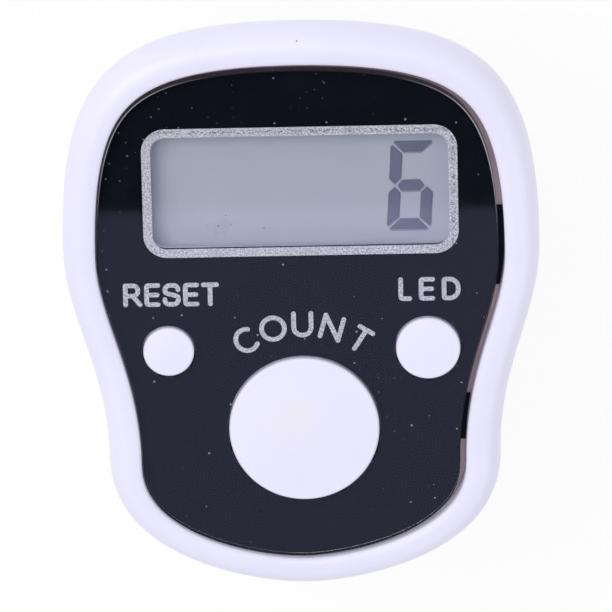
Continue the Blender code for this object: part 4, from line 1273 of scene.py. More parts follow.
@dataclass
class FrontShell:
    """Front half of the case: side, full round rim, web with its openings, bosses and ribs."""

    outline: CaseOutline
    side_pull: float = 1.6 * MM
    widest_below_crest: float = 2.4 * MM
    widest_pulls: Point = (1.0 * MM, 1.5 * MM)
    crest_inset: float = 1.6 * MM
    crest_pull: float = 1.0 * MM
    rim_width: float = 2.42 * MM
    rim_inner_drop: float = 0.35 * MM
    rim_inner_pull: float = 0.2 * MM
    cavity_inset: float = 2.3 * MM
    window_corner: float = 1.5 * MM
    post_radius: float = 1.4 * MM
    rib_thickness: float = 0.7 * MM
    rib_length: float = 2.4 * MM
    glass_gap: float = 0.15 * MM
    pilot_spare: float = 0.25 * MM
    profile_steps: int = 12

    def profile(self) -> list[Point]:
        """(Inset, height) from the cavity round the side and the rim to the web."""
        foot, crest = foot_of("front_shell"), top_of("front_shell")
        web_base, web_top = web_heights()
        taper = Vector((-self.outline.side_taper, 1.0)) * self.side_pull
        half_crest = (self.rim_width - self.crest_inset) / 2
        below, above = self.widest_pulls
        inner = self.rim_width, crest - self.rim_inner_drop
        knots = [
            ((self.outline.parting_inset, foot), NO_PULL, taper),
            ((0.0, crest - self.widest_below_crest), (0.0, -below), (0.0, above)),
            ((self.crest_inset, crest), (-self.crest_pull, 0.0), (half_crest, 0.0)),
            (inner, (0.0, self.rim_inner_pull), NO_PULL),
        ]
        start = [(self.cavity_inset, web_base), (self.cavity_inset, foot)]
        return start + smooth_path(knots, self.profile_steps) + [(self.rim_width, web_top)]

    def build(self) -> Piece:
        """Sweep the shell, then add what stands under the web and cut its openings."""
        span = (self.crest_inset, self.rim_width)
        shell = add_piece("case_front", self.outline.sweep(self.profile(), RECESS_SHIFT, span))
        web_base, web_top = web_heights()
        low = top_of("circuit_board") + GAP
        high = web_top - GAP
        bosses = {node: BOSS_RADIUS for node in CASE_SCREWS}
        bosses.update({node: self.post_radius for node in BOARD_SCREWS})
        added = [rod(node, radius, low, high, centre_of(node)) for node, radius in bosses.items()]
        added += self.ribs(high)
        shape_with(shell, Joining.ADD, added)
        corner, far_corner = window_corners(WINDOW_BORDER)
        ends = (*corner, web_base - MM), (*far_corner, web_top + MM)
        window = plate(*ends, self.window_corner)
        cuts = [add_piece("window", window)]
        for button in BUTTONS:
            radius = button.radius + button.clearance
            cuts.append(rod("hole", radius, web_base - MM, web_top + MM, centre_of(button.node)))
        for node in bosses:
            radius = CASE_SCREW_HOLE if node in CASE_SCREWS else SMALL_SCREW_HOLE
            pilot = top_of(node) + self.pilot_spare
            cuts.append(rod("pilot", radius, low - MM, pilot, centre_of(node), TINY_ROUND))
        shape_with(shell, Joining.CUT, cuts)
        return shell

    def ribs(self, high: float) -> list[Piece]:
        """Four ribs that centre the display glass.

        Args:
            high: Height of their tops.

        Returns:
            One object for each rib.
        """
        low_corner, high_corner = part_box("lcd_cell")
        inner = high_corner.x + self.glass_gap
        outer = inner + self.rib_thickness
        bottom_corner, top_corner = window_corners(0.0)
        ribs = []
        for bottom in (bottom_corner.y, top_corner.y - self.rib_length):
            for start, end in ((-outer, -inner), (inner, outer)):
                corners = (start, bottom, low_corner.z), (end, bottom + self.rib_length, high)
                ribs.append(add_piece("rib", plate(*corners)))
        return ribs

    def make(self) -> None:
        """Build and dress the shell."""
        place_piece(self.build(), "case", SHELL_WHITE, ["front_shell"])


@dataclass
class Button:
    """Round button: crowned cap with a rounded edge, flange and plunger."""

    node: str
    body: str
    radius: float
    crown: float
    edge: float
    clearance: float = 0.2 * MM
    flange_rim: float = 0.7 * MM
    flange_thickness: float = 0.75 * MM
    flange_drop: float = 0.1 * MM
    flange_edge: float = 0.1 * MM
    plunger_share: float = 0.45
    warm_offset: Point | None = None
    warm_radius: float = 3.0 * MM
    crown_steps: int = 10
    edge_steps: int = 12
    edge_start: float = 88.0

    def profile(self) -> list[Point]:
        """(Radius, height) of the button from the top of its crown down to its plunger."""
        foot, top, soft = foot_of(self.node), top_of(self.node), self.flange_edge
        cap = self.radius - self.edge
        count = self.crown_steps
        crown = [(cap * i / count, top - self.crown * (i / count) ** 2) for i in range(count)]
        centre, radii = (cap, top - self.crown - self.edge), (self.edge, self.edge)
        rounding = arc(centre, radii, self.edge_start, 0, self.edge_steps)
        flange_top = web_heights()[0] - self.flange_drop
        flange_base = flange_top - self.flange_thickness
        flange = self.radius + self.flange_rim
        plunger = self.radius * self.plunger_share
        return [
            *crown,
            *rounding,
            (self.radius, flange_top),
            (flange - soft, flange_top),
            (flange, flange_top - soft),
            (flange, flange_base + soft),
            (flange - soft, flange_base),
            (plunger, flange_base),
            (plunger, foot + soft),
            (plunger - soft, foot),
            (0.0, foot),
        ]

    def make(self) -> None:
        """Build and dress the button."""
        shape = spun(self.profile(), centre_of(self.node), FINE_ROUND)
        cap = add_piece(self.node + "_cap", shape)
        finish = BUTTON_WHITE
        if self.warm_offset is not None:
            at = centre_of(self.node) + Vector(self.warm_offset)
            tints_and_painted_highlights = ((*at, top_of(self.node), self.warm_radius),)
            finish = replace(BUTTON_WHITE, name="count_button_white", tints_and_painted_highlights=tints_and_painted_highlights)
        place_piece(cap, self.body, finish, [self.node])


BUTTONS = (
    Button(
        "count_button", "count_key", 5.38 * MM, 0.3 * MM, 0.22 * MM,
        warm_offset=(-0.9 * MM, 0.9 * MM),
    ),
    Button("reset_button", "reset_key", 1.82 * MM, 0.15 * MM, 0.2 * MM),
    Button("led_button", "led_key", 2.3 * MM, 0.15 * MM, 0.2 * MM),
)
CASE_SCREWS = ("case_screw_top", "case_screw_left", "case_screw_right")
BOARD_SCREWS = ("board_screw_left", "board_screw_right")


@dataclass(frozen=True)
class Letter:
    """Letter drawn with a round pen, in units of the cap height."""

    width: float
    open_lines: tuple[tuple[tuple[float, float, float], ...], ...] = ()
    loop: tuple[tuple[float, float, float], ...] = ()
    bow: tuple[float, float] | None = None

    def lines(self, pen: float) -> list[tuple[list[Vector], bool]]:
        """Each stroke's middle line and whether it is closed.

        Args:
            pen: Half of the pen's width.

        Returns:
            The strokes, in the letter's cell.
        """
        span = (self.width - 2 * pen, 1.0 - 2 * pen)

        def in_cell(corner: tuple[float, float, float]) -> tuple[float, float, float]:
            """A corner in the letter's cell, its bend kept."""
            return pen + corner[0] * span[0], pen + corner[1] * span[1], corner[2]

        strokes = [(bent_path([in_cell(c) for c in line]), False) for line in self.open_lines]
        if self.loop:
            strokes.append((bent_path([in_cell(c) for c in self.loop], closed=True), True))
        if self.bow is not None:
            first, last = self.bow
            closed = last - first >= 360
            points = arc((self.width / 2, 0.5), (span[0] / 2, span[1] / 2), first, last, 40)
            strokes.append((points[:-1] if closed else points, closed))
        return strokes


LETTERS = {
    "R": Letter(
        0.77,
        (
            ((0, 0, 0), (0, 1, 0)),
            ((0, 1, 0), (0.86, 1, 0.2), (0.86, 0.46, 0.2), (0, 0.46, 0)),
            ((0.5, 0.46, 0), (1, 0, 0)),
        ),
    ),
    "E": Letter(
        0.65,
        (((1, 1, 0), (0, 1, 0.08), (0, 0, 0.08), (1, 0, 0)), ((0, 0.5, 0), (0.92, 0.5, 0))),
    ),
    "S": Letter(
        0.75,
        (
            (
                (0.96, 0.76, 0), (0.96, 1, 0.19), (0.03, 1, 0.2), (0.03, 0.6, 0.12),
                (0.97, 0.42, 0.12), (0.97, 0, 0.2), (0, 0, 0.19), (0, 0.26, 0),
            ),
        ),
    ),
    "T": Letter(0.72, (((0, 1, 0), (1, 1, 0)), ((0.5, 1, 0), (0.5, 0, 0)))),
    "L": Letter(0.55, (((0, 1, 0), (0, 0, 0.08), (1, 0, 0)),)),
    "D": Letter(0.76, loop=((0, 0, 0.08), (0, 1, 0.08), (1, 1, 0.36), (1, 0, 0.36))),
    "C": Letter(0.96, bow=(52, 308)),
    "O": Letter(1.0, bow=(0, 360)),
    "U": Letter(0.8, (((0, 1, 0), (0, 0, 0.3), (1, 0, 0.3), (1, 1, 0)),)),
    "N": Letter(
        0.84, (((0, 0, 0), (0, 1, 0)), ((0, 1, 0), (1, 0, 0)), ((1, 0, 0), (1, 1, 0)))
    ),
}


@dataclass
class FrontPanel:
    """Clear panel with its printing: black ground, silver window frame and plain words.

    The panel is a little smaller than its recess and lies towards the lower left of it, so
    the tape under it shows along its top and its right side. The tape's mauve-brown tone there is
    painted shade for the shaded ledge under the clear margin.
    """

    outline: CaseOutline
    inset: float = 2.695 * MM
    shift: Point = (-0.245 * MM, -0.32 * MM)
    bevel: float = 0.06 * MM
    bevel_steps: int = 3
    bevel_slopes: Point = (0.05, 0.99)
    hole_clearance: float = 0.13 * MM
    ink_depth: float = 0.03 * MM
    ink_step: float = 0.008 * MM
    ink_margin: float = 0.03 * MM
    # The tape reaches out to the recess wall, under the clear margin, where its tone is painted
    # shade.
    tape_inset: float = 2.46 * MM
    tab_inset: float = 2.55 * MM
    tab_spans: tuple[Point, ...] = ((1.5 * MM, 7.5 * MM), (-10.2 * MM, -6.7 * MM))
    tab_reach: Point = (8 * MM, 20 * MM)
    tab_corner: float = 0.15 * MM
    window_inset: Point = (0.05 * MM, -0.01 * MM)
    window_turn: float = math.radians(0.25)
    window_corner: float = 1.05 * MM
    # Painted shade: how far the black ground reaches into the window along its lower edge.
    painted_shade_line: float = 0.08 * MM
    frame_width: float = 0.65 * MM
    pen: float = 0.34 * MM
    cap_height: float = 1.78 * MM
    arc_cap_height: float = 1.98 * MM
    arc_radius: float = 7.69 * MM
    letter_gap: float = 0.14 * MM
    reset_offset: Point = (0.25 * MM, 4.1 * MM)
    led_offset: Point = (0.15 * MM, 4.28 * MM)
    led_gap: float = 0.48 * MM
    count_turns: tuple[float, ...] = (31.4, 16.0, 0.1, -15.8, -32.4)

    def make(self) -> None:
        """Build and dress the panel and its printing."""
        slab = self.slab()
        place_piece(slab, "case", PANEL_CLEAR, ["front_panel"], FLAT_FACE_ANGLE)
        # The bevel faces take the cut edge finish, whose light spots are painted highlights.
        slab.data.materials.append(CUT_EDGE.material())
        for face in slab.data.polygons:
            if self.bevel_slopes[0] < face.normal.z < self.bevel_slopes[1]:
                face.material_index = 1
        place_piece(self.sheet(), "case", TAPE_WITH_PAINTED_SHADE, ["panel_adhesive"])
        place_piece(self.ground(), "case", PRINT_BLACK)
        frame_ink = replace(PRINT_SILVER, name="panel_print_frame", worn_at=self.worn_lines())
        place_piece(self.window_frame(), "case", frame_ink)
        place_piece(self.lettering(), "case", PRINT_SILVER)

    def sheet(self) -> Piece:
        """Adhesive sheet under the panel, which shows round the edge of the printing; its tone
        there is painted shade.
        """
        low, high = foot_of("panel_adhesive"), top_of("panel_adhesive")
        profile = [(self.tape_inset, low), (self.tape_inset, high)]
        sheet = add_piece("panel_tape", self.outline.sweep(profile, RECESS_SHIFT))
        corner, far_corner = window_corners(WINDOW_BORDER)
        window = plate((*corner, low - MM), (*far_corner, high + MM), self.window_corner)
        cuts = [self.hole(button, low, high) for button in BUTTONS]
        shape_with(sheet, Joining.CUT, [add_piece("tape_window", window), *cuts])
        return sheet

    def slab(self) -> Piece:
        """Clear slab with a bevelled edge and an opening for each button."""
        low, high = foot_of("front_panel"), top_of("front_panel")
        profile = [(self.inset, low), (self.inset, high - self.bevel)]
        for i in range(1, self.bevel_steps + 1):
            turn = math.radians(90 * i / self.bevel_steps)
            drawn_in = self.inset + self.bevel * (1 - math.cos(turn))
            profile.append((drawn_in, high - self.bevel * (1 - math.sin(turn))))
        slab = add_piece("panel_slab", self.outline.sweep(profile, self.shift))
        shape_with(slab, Joining.CUT, [self.hole(button, low, high) for button in BUTTONS])
        return slab

    def hole(self, button: Button, low: float, high: float) -> Piece:
        """Tool for a button's opening."""
        radius = button.radius + self.hole_clearance
        return rod("panel_hole", radius, low - MM, high + MM, centre_of(button.node), FINE_ROUND)

    def ink_heights(self, layer: int) -> Point:
        """Underside and face of a printed layer. A higher layer is nearer the eye."""
        base = foot_of("front_panel")
        return base - self.ink_depth, base + self.ink_depth + self.ink_step * layer

    def ground(self) -> Piece:
        """Black ground with its two tabs at the right edge and its openings, its window raised at
        the lower edge so a thin black line shows there as painted shade.
        """
        low, high = self.ink_heights(0)
        inset = self.inset + self.ink_margin
        profile = [(inset, low), (inset, high)]
        ground = add_piece("panel_ground", self.outline.sweep(profile, self.shift))
        tabs = []
        for first, last in self.tab_spans:
            near, (start, end) = self.tab_inset, self.tab_reach
            tab = add_piece("tab", self.outline.sweep([(near, low), (near, high)]))
            ends = (start, first, low - MM), (end, last, high + MM)
            keep = plate(*ends, self.tab_corner, 4)
            shape_with(tab, Joining.KEEP, [add_piece("tab_span", keep)])
            tabs.append(tab)
        shape_with(ground, Joining.ADD, tabs)
        border = self.frame_width / 2
        # The raised lower edge of the ground's window leaves a thin black line inside the frame:
        # painted shade for the shaded wall seen under the frame there.
        raised = border + self.painted_shade_line
        cuts = [self.window_plate("ground_window", border, (low - MM, high + MM), raised)]
        cuts += [self.hole(button, low, high) for button in BUTTONS]
        shape_with(ground, Joining.CUT, cuts)
        return ground

    def window_frame(self) -> Piece:
        """Silver frame round the display window."""
        low, high = self.ink_heights(1)
        ring = self.window_plate("panel_window_frame", self.frame_width, (low, high))
        opening = self.window_plate("window_cut", 0.0, (low - MM, high + MM))
        shape_with(ring, Joining.CUT, [opening])
        return ring

    def window_plate(self, name: str, border: float, heights: Point, raised: float = 0.0) -> Piece:
        """Plate like the frame's opening, turned a little as the print is.

        Args:
            name: Name of the piece.
            border: How much wider than the opening it is all round.
            heights: Its underside and its face.
            raised: How much its lower edge is raised.

        Returns:
            The plate.
        """
        corner, far_corner = window_corners(border)
        corner += Vector(self.window_inset)
        far_corner -= Vector(self.window_inset)
        middle = ((corner + far_corner) / 2).to_3d()
        corner.y += raised
        radius = self.window_corner + border
        bm = plate((*corner, heights[0]), (*far_corner, heights[1]), radius, 16)
        turn = Matrix.Rotation(self.window_turn, 3, "Z")
        bmesh.ops.rotate(bm, cent=middle, matrix=turn, verts=bm.verts)
        return add_piece(name, bm)

    def worn_lines(self) -> Point:
        """X of the middle of the frame's right side and Y of the middle of its top."""
        _, far_corner = window_corners(self.frame_width / 2)
        middle = far_corner - Vector(self.window_inset)
        return middle.x, middle.y

    def lettering(self) -> Piece:
        """The three plain words beside the buttons."""
        strokes: list[Piece] = []
        reset_at = centre_of("reset_button") + Vector(self.reset_offset)
        led_at = centre_of("led_button") + Vector(self.led_offset)
        for word, at, gap in (("RESET", reset_at, self.letter_gap), ("LED", led_at, self.led_gap)):
            widths = [LETTERS[letter].width * self.cap_height for letter in word]
            x = at[0] - (sum(widths) + gap * (len(word) - 1)) / 2
            for letter, width in zip(word, widths):
                corner = Vector((x, at[1] - self.cap_height / 2))
                strokes += self.draw(letter, self.cap_height, corner, 0.0)
                x += width + gap
        centre = centre_of("count_button")
        for letter, turn in zip("COUNT", self.count_turns):
            angle = math.radians(turn)
            size = self.arc_cap_height
            across = Vector((math.cos(angle), math.sin(angle)))
            up = Vector((-math.sin(angle), math.cos(angle)))
            middle = centre + up * self.arc_radius
            corner = middle - across * LETTERS[letter].width * size / 2 - up * size / 2
            strokes += self.draw(letter, size, corner, angle)
        words = strokes.pop(0)
        words.name = "panel_words"
        shape_with(words, Joining.ADD, strokes)
        return words

    def draw(self, letter: str, size: float, corner: Vector, angle: float) -> list[Piece]:
        """Strokes of one letter.

        Args:
            letter: Which letter.
            size: Cap height.
            corner: Lower left corner of the letter's cell.
            angle: Turn of the letter in radians.

        Returns:
            One object for each stroke.
        """
        low, high = self.ink_heights(1)
        turn = Matrix.Rotation(angle, 2)
        drawn = []
        for line, closed in LETTERS[letter].lines(self.pen / 2 / size):
            path = [corner + turn @ (point * size) for point in line]
            drawn.append(add_piece("stroke", pen_line(path, self.pen, low, high, closed)))
        return drawn


@dataclass
class Display:
    """Digit of the display, dark segments just above the front film."""

    digit_size: Point = (3.24 * MM, 6.76 * MM)
    digit_offset: Point = (7.9 * MM, -0.09 * MM)
    bar: float = 0.94 * MM
    gap: float = 0.035 * MM
    slant: float = 0.06
    blur: float = 0.13 * MM
    lift: float = 0.02 * MM
    shadow_drop: Point = (0.02 * MM, -0.11 * MM)

    def segments(self) -> list[list[Point]]:
        """Outlines of the lit segments of a 6, in the digit's cell."""
        width, height = self.digit_size
        bar, gap = self.bar, self.gap
        middle, chip = height / 2, 0.15 * bar
        near, far = bar + gap, width - bar - gap
        above, below = middle + bar / 2, middle - bar / 2
        level = [
            (0.6 * bar + gap, middle), (near, above), (far, above),
            (width - 0.6 * bar - gap, middle), (far, below), (near, below),
        ]
        foot = [
            (2 * chip + gap, 0.0), (width - 2 * chip - gap, 0.0),
            (width - chip - gap, chip), (far, bar), (near, bar), (chip + gap, chip),
        ]
        head = [(x, height - y) for x, y in foot]
        lower_left = [
            (0.0, 3 * chip + gap), (chip, bar / 4 + gap), (bar, near),
            (bar, below - gap), (bar / 2, middle - gap), (0.0, below - gap),
        ]
        upper_left = [(x, height - y) for x, y in lower_left]
        lower_right = [(width - x, y) for x, y in lower_left]
        return [level, foot, head, lower_left, upper_left, lower_right]

    def digit(self, name: str, drop: Point, low: float, high: float) -> Piece:
        """Solid digit.

        Args:
            name: Name of the piece.
            drop: How far it lies from the digit's own place.
            low: Height of its underside.
            high: Height of its face.

        Returns:
            The digit as one object of several closed bars.
        """
        width, height = self.digit_size
        middle = centre_of("front_polariser") + Vector(self.digit_offset) + Vector(drop)
        bm = bmesh.new()
        for outline in self.segments():
            corners = []
            for x, y in outline:
                up = y - height / 2
                place = middle + Vector((x - width / 2 + up * self.slant, up))
                corners.append(bm.verts.new((*place, low)))
            bm.faces.new(corners)
        bm.normal_update()
        faces = bm.faces[:]
        bmesh.ops.inset_individual(bm, faces=faces, thickness=self.blur, use_even_offset=True)
        ink = bm.verts.layers.float.new("ink")
        for vert in bm.verts:
            vert[ink] = 0.0 if vert.is_boundary else 1.0
        thicken(bm, (0.0, 0.0, high - low))
        return add_piece(name, bm)

    def make(self) -> None:
        """Build the digit and the shadow it casts on the reflector, and dress both."""
        base = top_of("front_polariser")
        digit = self.digit("display_digit", (0.0, 0.0), base - self.lift, base + 2 * self.lift)
        shadow = self.digit("display_shadow", self.shadow_drop, base - self.lift, base + self.lift)
        place_piece(digit, "case", DIGIT_DARK)
        place_piece(shadow, "case", DIGIT_SHADOW)


@dataclass
class RearCover:
    """Back half of the case: tapered tray, lip, bosses, cell pocket, hinge ears and hook."""

    outline: CaseOutline
    back_inset: float = 3.5 * MM
    back_pull: float = 0.75 * MM
    side_pull: float = 2.6 * MM
    parting: float = 4.2 * MM
    lip_inset: float = 2.45 * MM
    lip_wall: float = 0.7 * MM
    lip_height: float = 0.5 * MM
    floor: float = 1.1 * MM
    floor_inset: float = 4.55 * MM
    clearance: float = 0.15 * MM
    cell_clearance: float = 0.25 * MM
    pocket_wall: float = 0.9 * MM
    ledge: float = 0.9 * MM
    contact_thickness: float = 0.15 * MM
    contact_slot: float = 2.7 * MM
    head_seat: float = 1.2 * MM
    head_radius: float = 1.4 * MM
    hinge_hole: float = 0.95 * MM
    ear_thickness: float = 1.6 * MM
    ear_gap: float = 0.2 * MM
    ear_rise: float = 2.8 * MM
    ear_edge: float = 0.15 * MM
    pilot_height: float = 3.25 * MM
    hook_x: float = 11.45 * MM
    hook_drop: float = 2.65 * MM
    hook_edge: float = 0.1 * MM
    hook_thickness: float = 0.9 * MM
    hook_width: float = 4.4 * MM
    hook_lip: float = 0.5 * MM
    hook_lip_height: float = 0.65 * MM
    profile_steps: int = 12

    def profile(self) -> list[Point]:
        """(Inset, height) from the back up the side, over the lip and down to the floor."""
        taper = Vector((self.outline.side_taper, -1.0)) * self.side_pull
        parting = BACK + self.parting
        lip_top = parting + self.lip_height
        inner = self.lip_inset + self.lip_wall
        knots = [
            ((self.back_inset, BACK), NO_PULL, (-self.back_pull, 0.0)),
            ((self.outline.parting_inset, parting), taper, NO_PULL),
        ]
        return smooth_path(knots, self.profile_steps) + [
            (self.lip_inset, parting),
            (self.lip_inset, lip_top),
            (inner, lip_top),
            (inner, parting),
            (self.floor_inset, BACK + self.floor),
        ]

    def build(self) -> Piece:
        """Sweep the tray, add what stands on it, and cut its seats and holes."""
        cover = add_piece("case_back", self.outline.sweep(self.profile()))
        cell_at = centre_of("button_cell")
        low = BACK + GAP
        ledge_top = BACK + LID_RECESS + self.ledge
        pocket_top = top_of("button_cell") + GAP - self.contact_thickness
        boss_top = foot_of("circuit_board") - GAP
        growth = self.pocket_wall + self.clearance
        screw_at = centre_of("battery_cover_screw")
        lid = BATTERY_LID
        added = [
            add_piece("pad", upright_prism(lid.outline(growth), low, ledge_top)),
            add_piece("tongue_pad", lid.tongue(growth, low, ledge_top)),
            rod("pocket", lid.radius, low, pocket_top, cell_at, LARGE_ROUND),
            rod("screw_tower", BOSS_RADIUS, low, pocket_top, screw_at),
            *(rod(node, BOSS_RADIUS, low, boss_top, centre_of(node)) for node in CASE_SCREWS),
            *self.ears(),
            self.hook(),
        ]
        shape_with(cover, Joining.ADD, added)
        near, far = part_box("button_cell")
        cell_radius = (far.x - near.x) / 2
        bore = cell_radius + self.cell_clearance
        half = self.contact_slot / 2
        blade = plate(
            (cell_radius, cell_at.y - half, ledge_top + GAP),
            (lid.radius + MM, cell_at.y + half, pocket_top + MM),
        )
        slot_low = BACK + LID_RECESS - lid.tongue_thickness - 2 * GAP
        slot_high = BACK + LID_RECESS - GAP / 2
        recess = upright_prism(lid.outline(self.clearance), BACK - MM, BACK + LID_RECESS)
        pilot_top = BACK + self.pilot_height
        cuts = [
            rod("cell_bore", bore, BACK - MM, pocket_top + MM, cell_at, LARGE_ROUND),
            add_piece("blade_slot", blade),
            add_piece("tongue_slot", lid.tongue(self.clearance, slot_low, slot_high)),
            add_piece("recess", recess),
            rod("pilot", SMALL_SCREW_HOLE, BACK, pilot_top, screw_at, TINY_ROUND),
        ]
        for node in CASE_SCREWS:
            at = centre_of(node)
            above = boss_top + 2 * MM
            seat = BACK + self.head_seat
            cuts.append(rod("shank", CASE_SCREW_HOLE, BACK - MM, above, at, TINY_ROUND))
            cuts.append(rod("seat", self.head_radius, BACK - MM, seat, at))
        half_span = (BAND_WIDTH + 2 * (self.ear_gap + self.ear_thickness) + MM) / 2
        at = hinge_centre()
        cuts.append(rod("ear_hole", self.hinge_hole, -half_span, half_span, at, along="Y"))
        shape_with(cover, Joining.CUT, cuts)
        return cover

    def ears(self) -> list[Piece]:
        """Two ears that hold the band's trunnions."""
        hinge = hinge_centre()
        radius = KNUCKLE_RADIUS
        inner = BAND_WIDTH / 2 + self.ear_gap
        ears = []
        for side in (-1, 1):
            outline = arc((hinge.x, hinge.z), (radius, radius), 180, 360, 32)
            outline.append(Vector((hinge.x + radius, BACK + self.ear_rise)))
            outline.append(Vector((hinge.x - radius, BACK + self.ear_rise)))
            middle = hinge.y + side * (inner + self.ear_thickness / 2)
            bm = side_prism(outline, self.ear_thickness, middle)
            soften_below(bm, BACK, self.ear_edge)
            ears.append(add_piece("ear", bm))
        return ears

    def hook(self) -> Piece:
        """Hook that stands through a slot of the band, its lip outward."""
        inner, outer = self.hook_x, self.hook_x + self.hook_thickness
        foot = BACK - self.hook_drop
        lip = foot + self.hook_lip_height
        outline = [
            (inner, BACK + self.floor - GAP),
            (inner, foot),
            (outer + self.hook_lip / 2, foot),
            (outer + self.hook_lip, foot + self.hook_lip_height / 2),
            (outer + self.hook_lip, lip),
            (outer, lip),
            (outer, BACK + self.floor - GAP),
        ]
        bm = side_prism(outline, self.hook_width, hinge_centre().y)
        soften_below(bm, BACK, self.hook_edge)
        return add_piece("hook", bm)

    def make(self) -> None:
        """Build and dress the cover."""
        place_piece(self.build(), "case", SHELL_WHITE, ["rear_cover"])


def soften_below(bm: Solid, height: float, radius: float) -> None:
    """Round the sharp edges that lie wholly below a height.

    Args:
        bm: The shape.
        height: Only edges below it are rounded.
        radius: Reach of the rounding.
    """
    bm.normal_update()
    sharp = [
        edge
        for edge in bm.edges
        if max(vert.co.z for vert in edge.verts) < height
        and len(edge.link_faces) == 2
        and edge.calc_face_angle() > SHARP_ANGLE
    ]
    bevelled(bm, sharp, radius, 3)


@dataclass
class BatteryLid:
    """Battery cover, flush with the back: a disc with a screw tab and a tongue."""

    radius: float = 6.95 * MM
    tab_radius: float = 2.0 * MM
    thickness: float = 0.8 * MM
    tongue_width: float = 4.0 * MM
    tongue_reach: float = 0.8 * MM
    tongue_thickness: float = 0.45 * MM
    seat_radius: float = 1.1 * MM
    edge: float = 0.12 * MM

    def outline(self, growth: float) -> list[Vector]:
        """Disc and tab seen from the face.

        Args:
            growth: How much wider it is all round.

        Returns:
            The closed outline's points.
        """
        radius, tab = self.radius + growth, self.tab_radius + growth
        opening = math.degrees(math.asin(tab / radius))
        around = arc(centre_of("button_cell"), (radius, radius), 90 + opening, 450 - opening, 120)
        around += arc(centre_of("battery_cover_screw"), (tab, tab), 0, 180, 32)
        return around

    def tongue(self, growth: float, low: float, high: float) -> Solid:
        """Tongue that hooks under the rear cover."""
        edge = centre_of("button_cell").y - self.radius
        half = self.tongue_width / 2 + growth
        return plate((-half, edge - self.tongue_reach - growth, low), (half, edge + MM, high))

    def make(self) -> None:
        """Build and dress the cover."""
        bm = upright_prism(self.outline(0.0), BACK, BACK + self.thickness)
        rim = [edge for edge in bm.edges if all(v.co.z < BACK + GAP for v in edge.verts)]
        bevelled(bm, rim, self.edge, 3)
        lid = add_piece("battery_lid", bm)
        tongue_low = BACK + LID_RECESS - self.tongue_thickness - GAP
        tongue = self.tongue(0.0, tongue_low, BACK + self.thickness)
        shape_with(lid, Joining.ADD, [add_piece("tongue", tongue)])
        at = centre_of("battery_cover_screw")
        middle = BACK + self.thickness / 2
        cuts = [
            rod("lid_shank", SMALL_SCREW_HOLE, BACK - MM, BACK + 2 * MM, at, 32),
            rod("lid_seat", self.seat_radius, BACK - MM, middle, at),
        ]
        shape_with(lid, Joining.CUT, cuts)
        place_piece(lid, "case", SHELL_WHITE, ["battery_cover"])


BATTERY_LID = BatteryLid()


@dataclass
class CrossScrew:
    """Cross-head screw with a domed head below and a tapered point above."""

    node: str
    head_radius: float
    shank_radius: float
    head_height: float
    thread_pitch: float = 0.45 * MM
    drive_share: float = 0.55
    drive_width: float = 0.26 * MM
    drive_depth: float = 0.35 * MM
    core_share: float = 0.8
    tip_shanks: float = 2.2
    neck: float = 0.08 * MM
    soft: float = 0.05 * MM
    dome_share: float = 0.55
    dome_steps: int = 12
    segments: int = 40

    def profile(self) -> list[Point]:
        """(Radius, height) from the point down the threads to the middle of the head."""
        low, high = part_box(self.node)
        seat = low.z + self.head_height
        core = self.shank_radius * self.core_share
        profile = [(0.0, high.z), (core / 2, high.z - core)]
        height = high.z - self.tip_shanks * self.shank_radius
        while height - self.thread_pitch > seat + GAP:
            profile.append((self.shank_radius, height))
            profile.append((core, height - self.thread_pitch / 2))
            height -= self.thread_pitch
        profile += [(self.shank_radius, seat + self.neck), (self.shank_radius, seat)]
        profile += [(self.head_radius - self.soft, seat), (self.head_radius, seat - self.soft)]
        dome = self.head_height * self.dome_share
        around = arc((0.0, low.z + dome), (self.head_radius, dome), 0, -90, self.dome_steps)
        return profile + around[:-1] + [(0.0, low.z)]

    def make(self) -> None:
        """Build and dress the screw."""
        at, low = centre_of(self.node), foot_of(self.node)
        screw = add_piece(self.node + "_cross", spun(self.profile(), at, self.segments))
        depth = min(self.drive_depth, self.head_height / 2)
        arm = self.head_radius * self.drive_share
        across = self.drive_width / 2
        cross = []
        for x, y in ((arm, across), (across, arm)):
            ends = (at.x - x, at.y - y, low - MM), (at.x + x, at.y + y, low + depth)
            cross.append(add_piece("drive", plate(*ends, self.soft, 3)))
        shape_with(screw, Joining.CUT, cross)
        place_piece(screw, "case", SCREW_STEEL, [self.node])


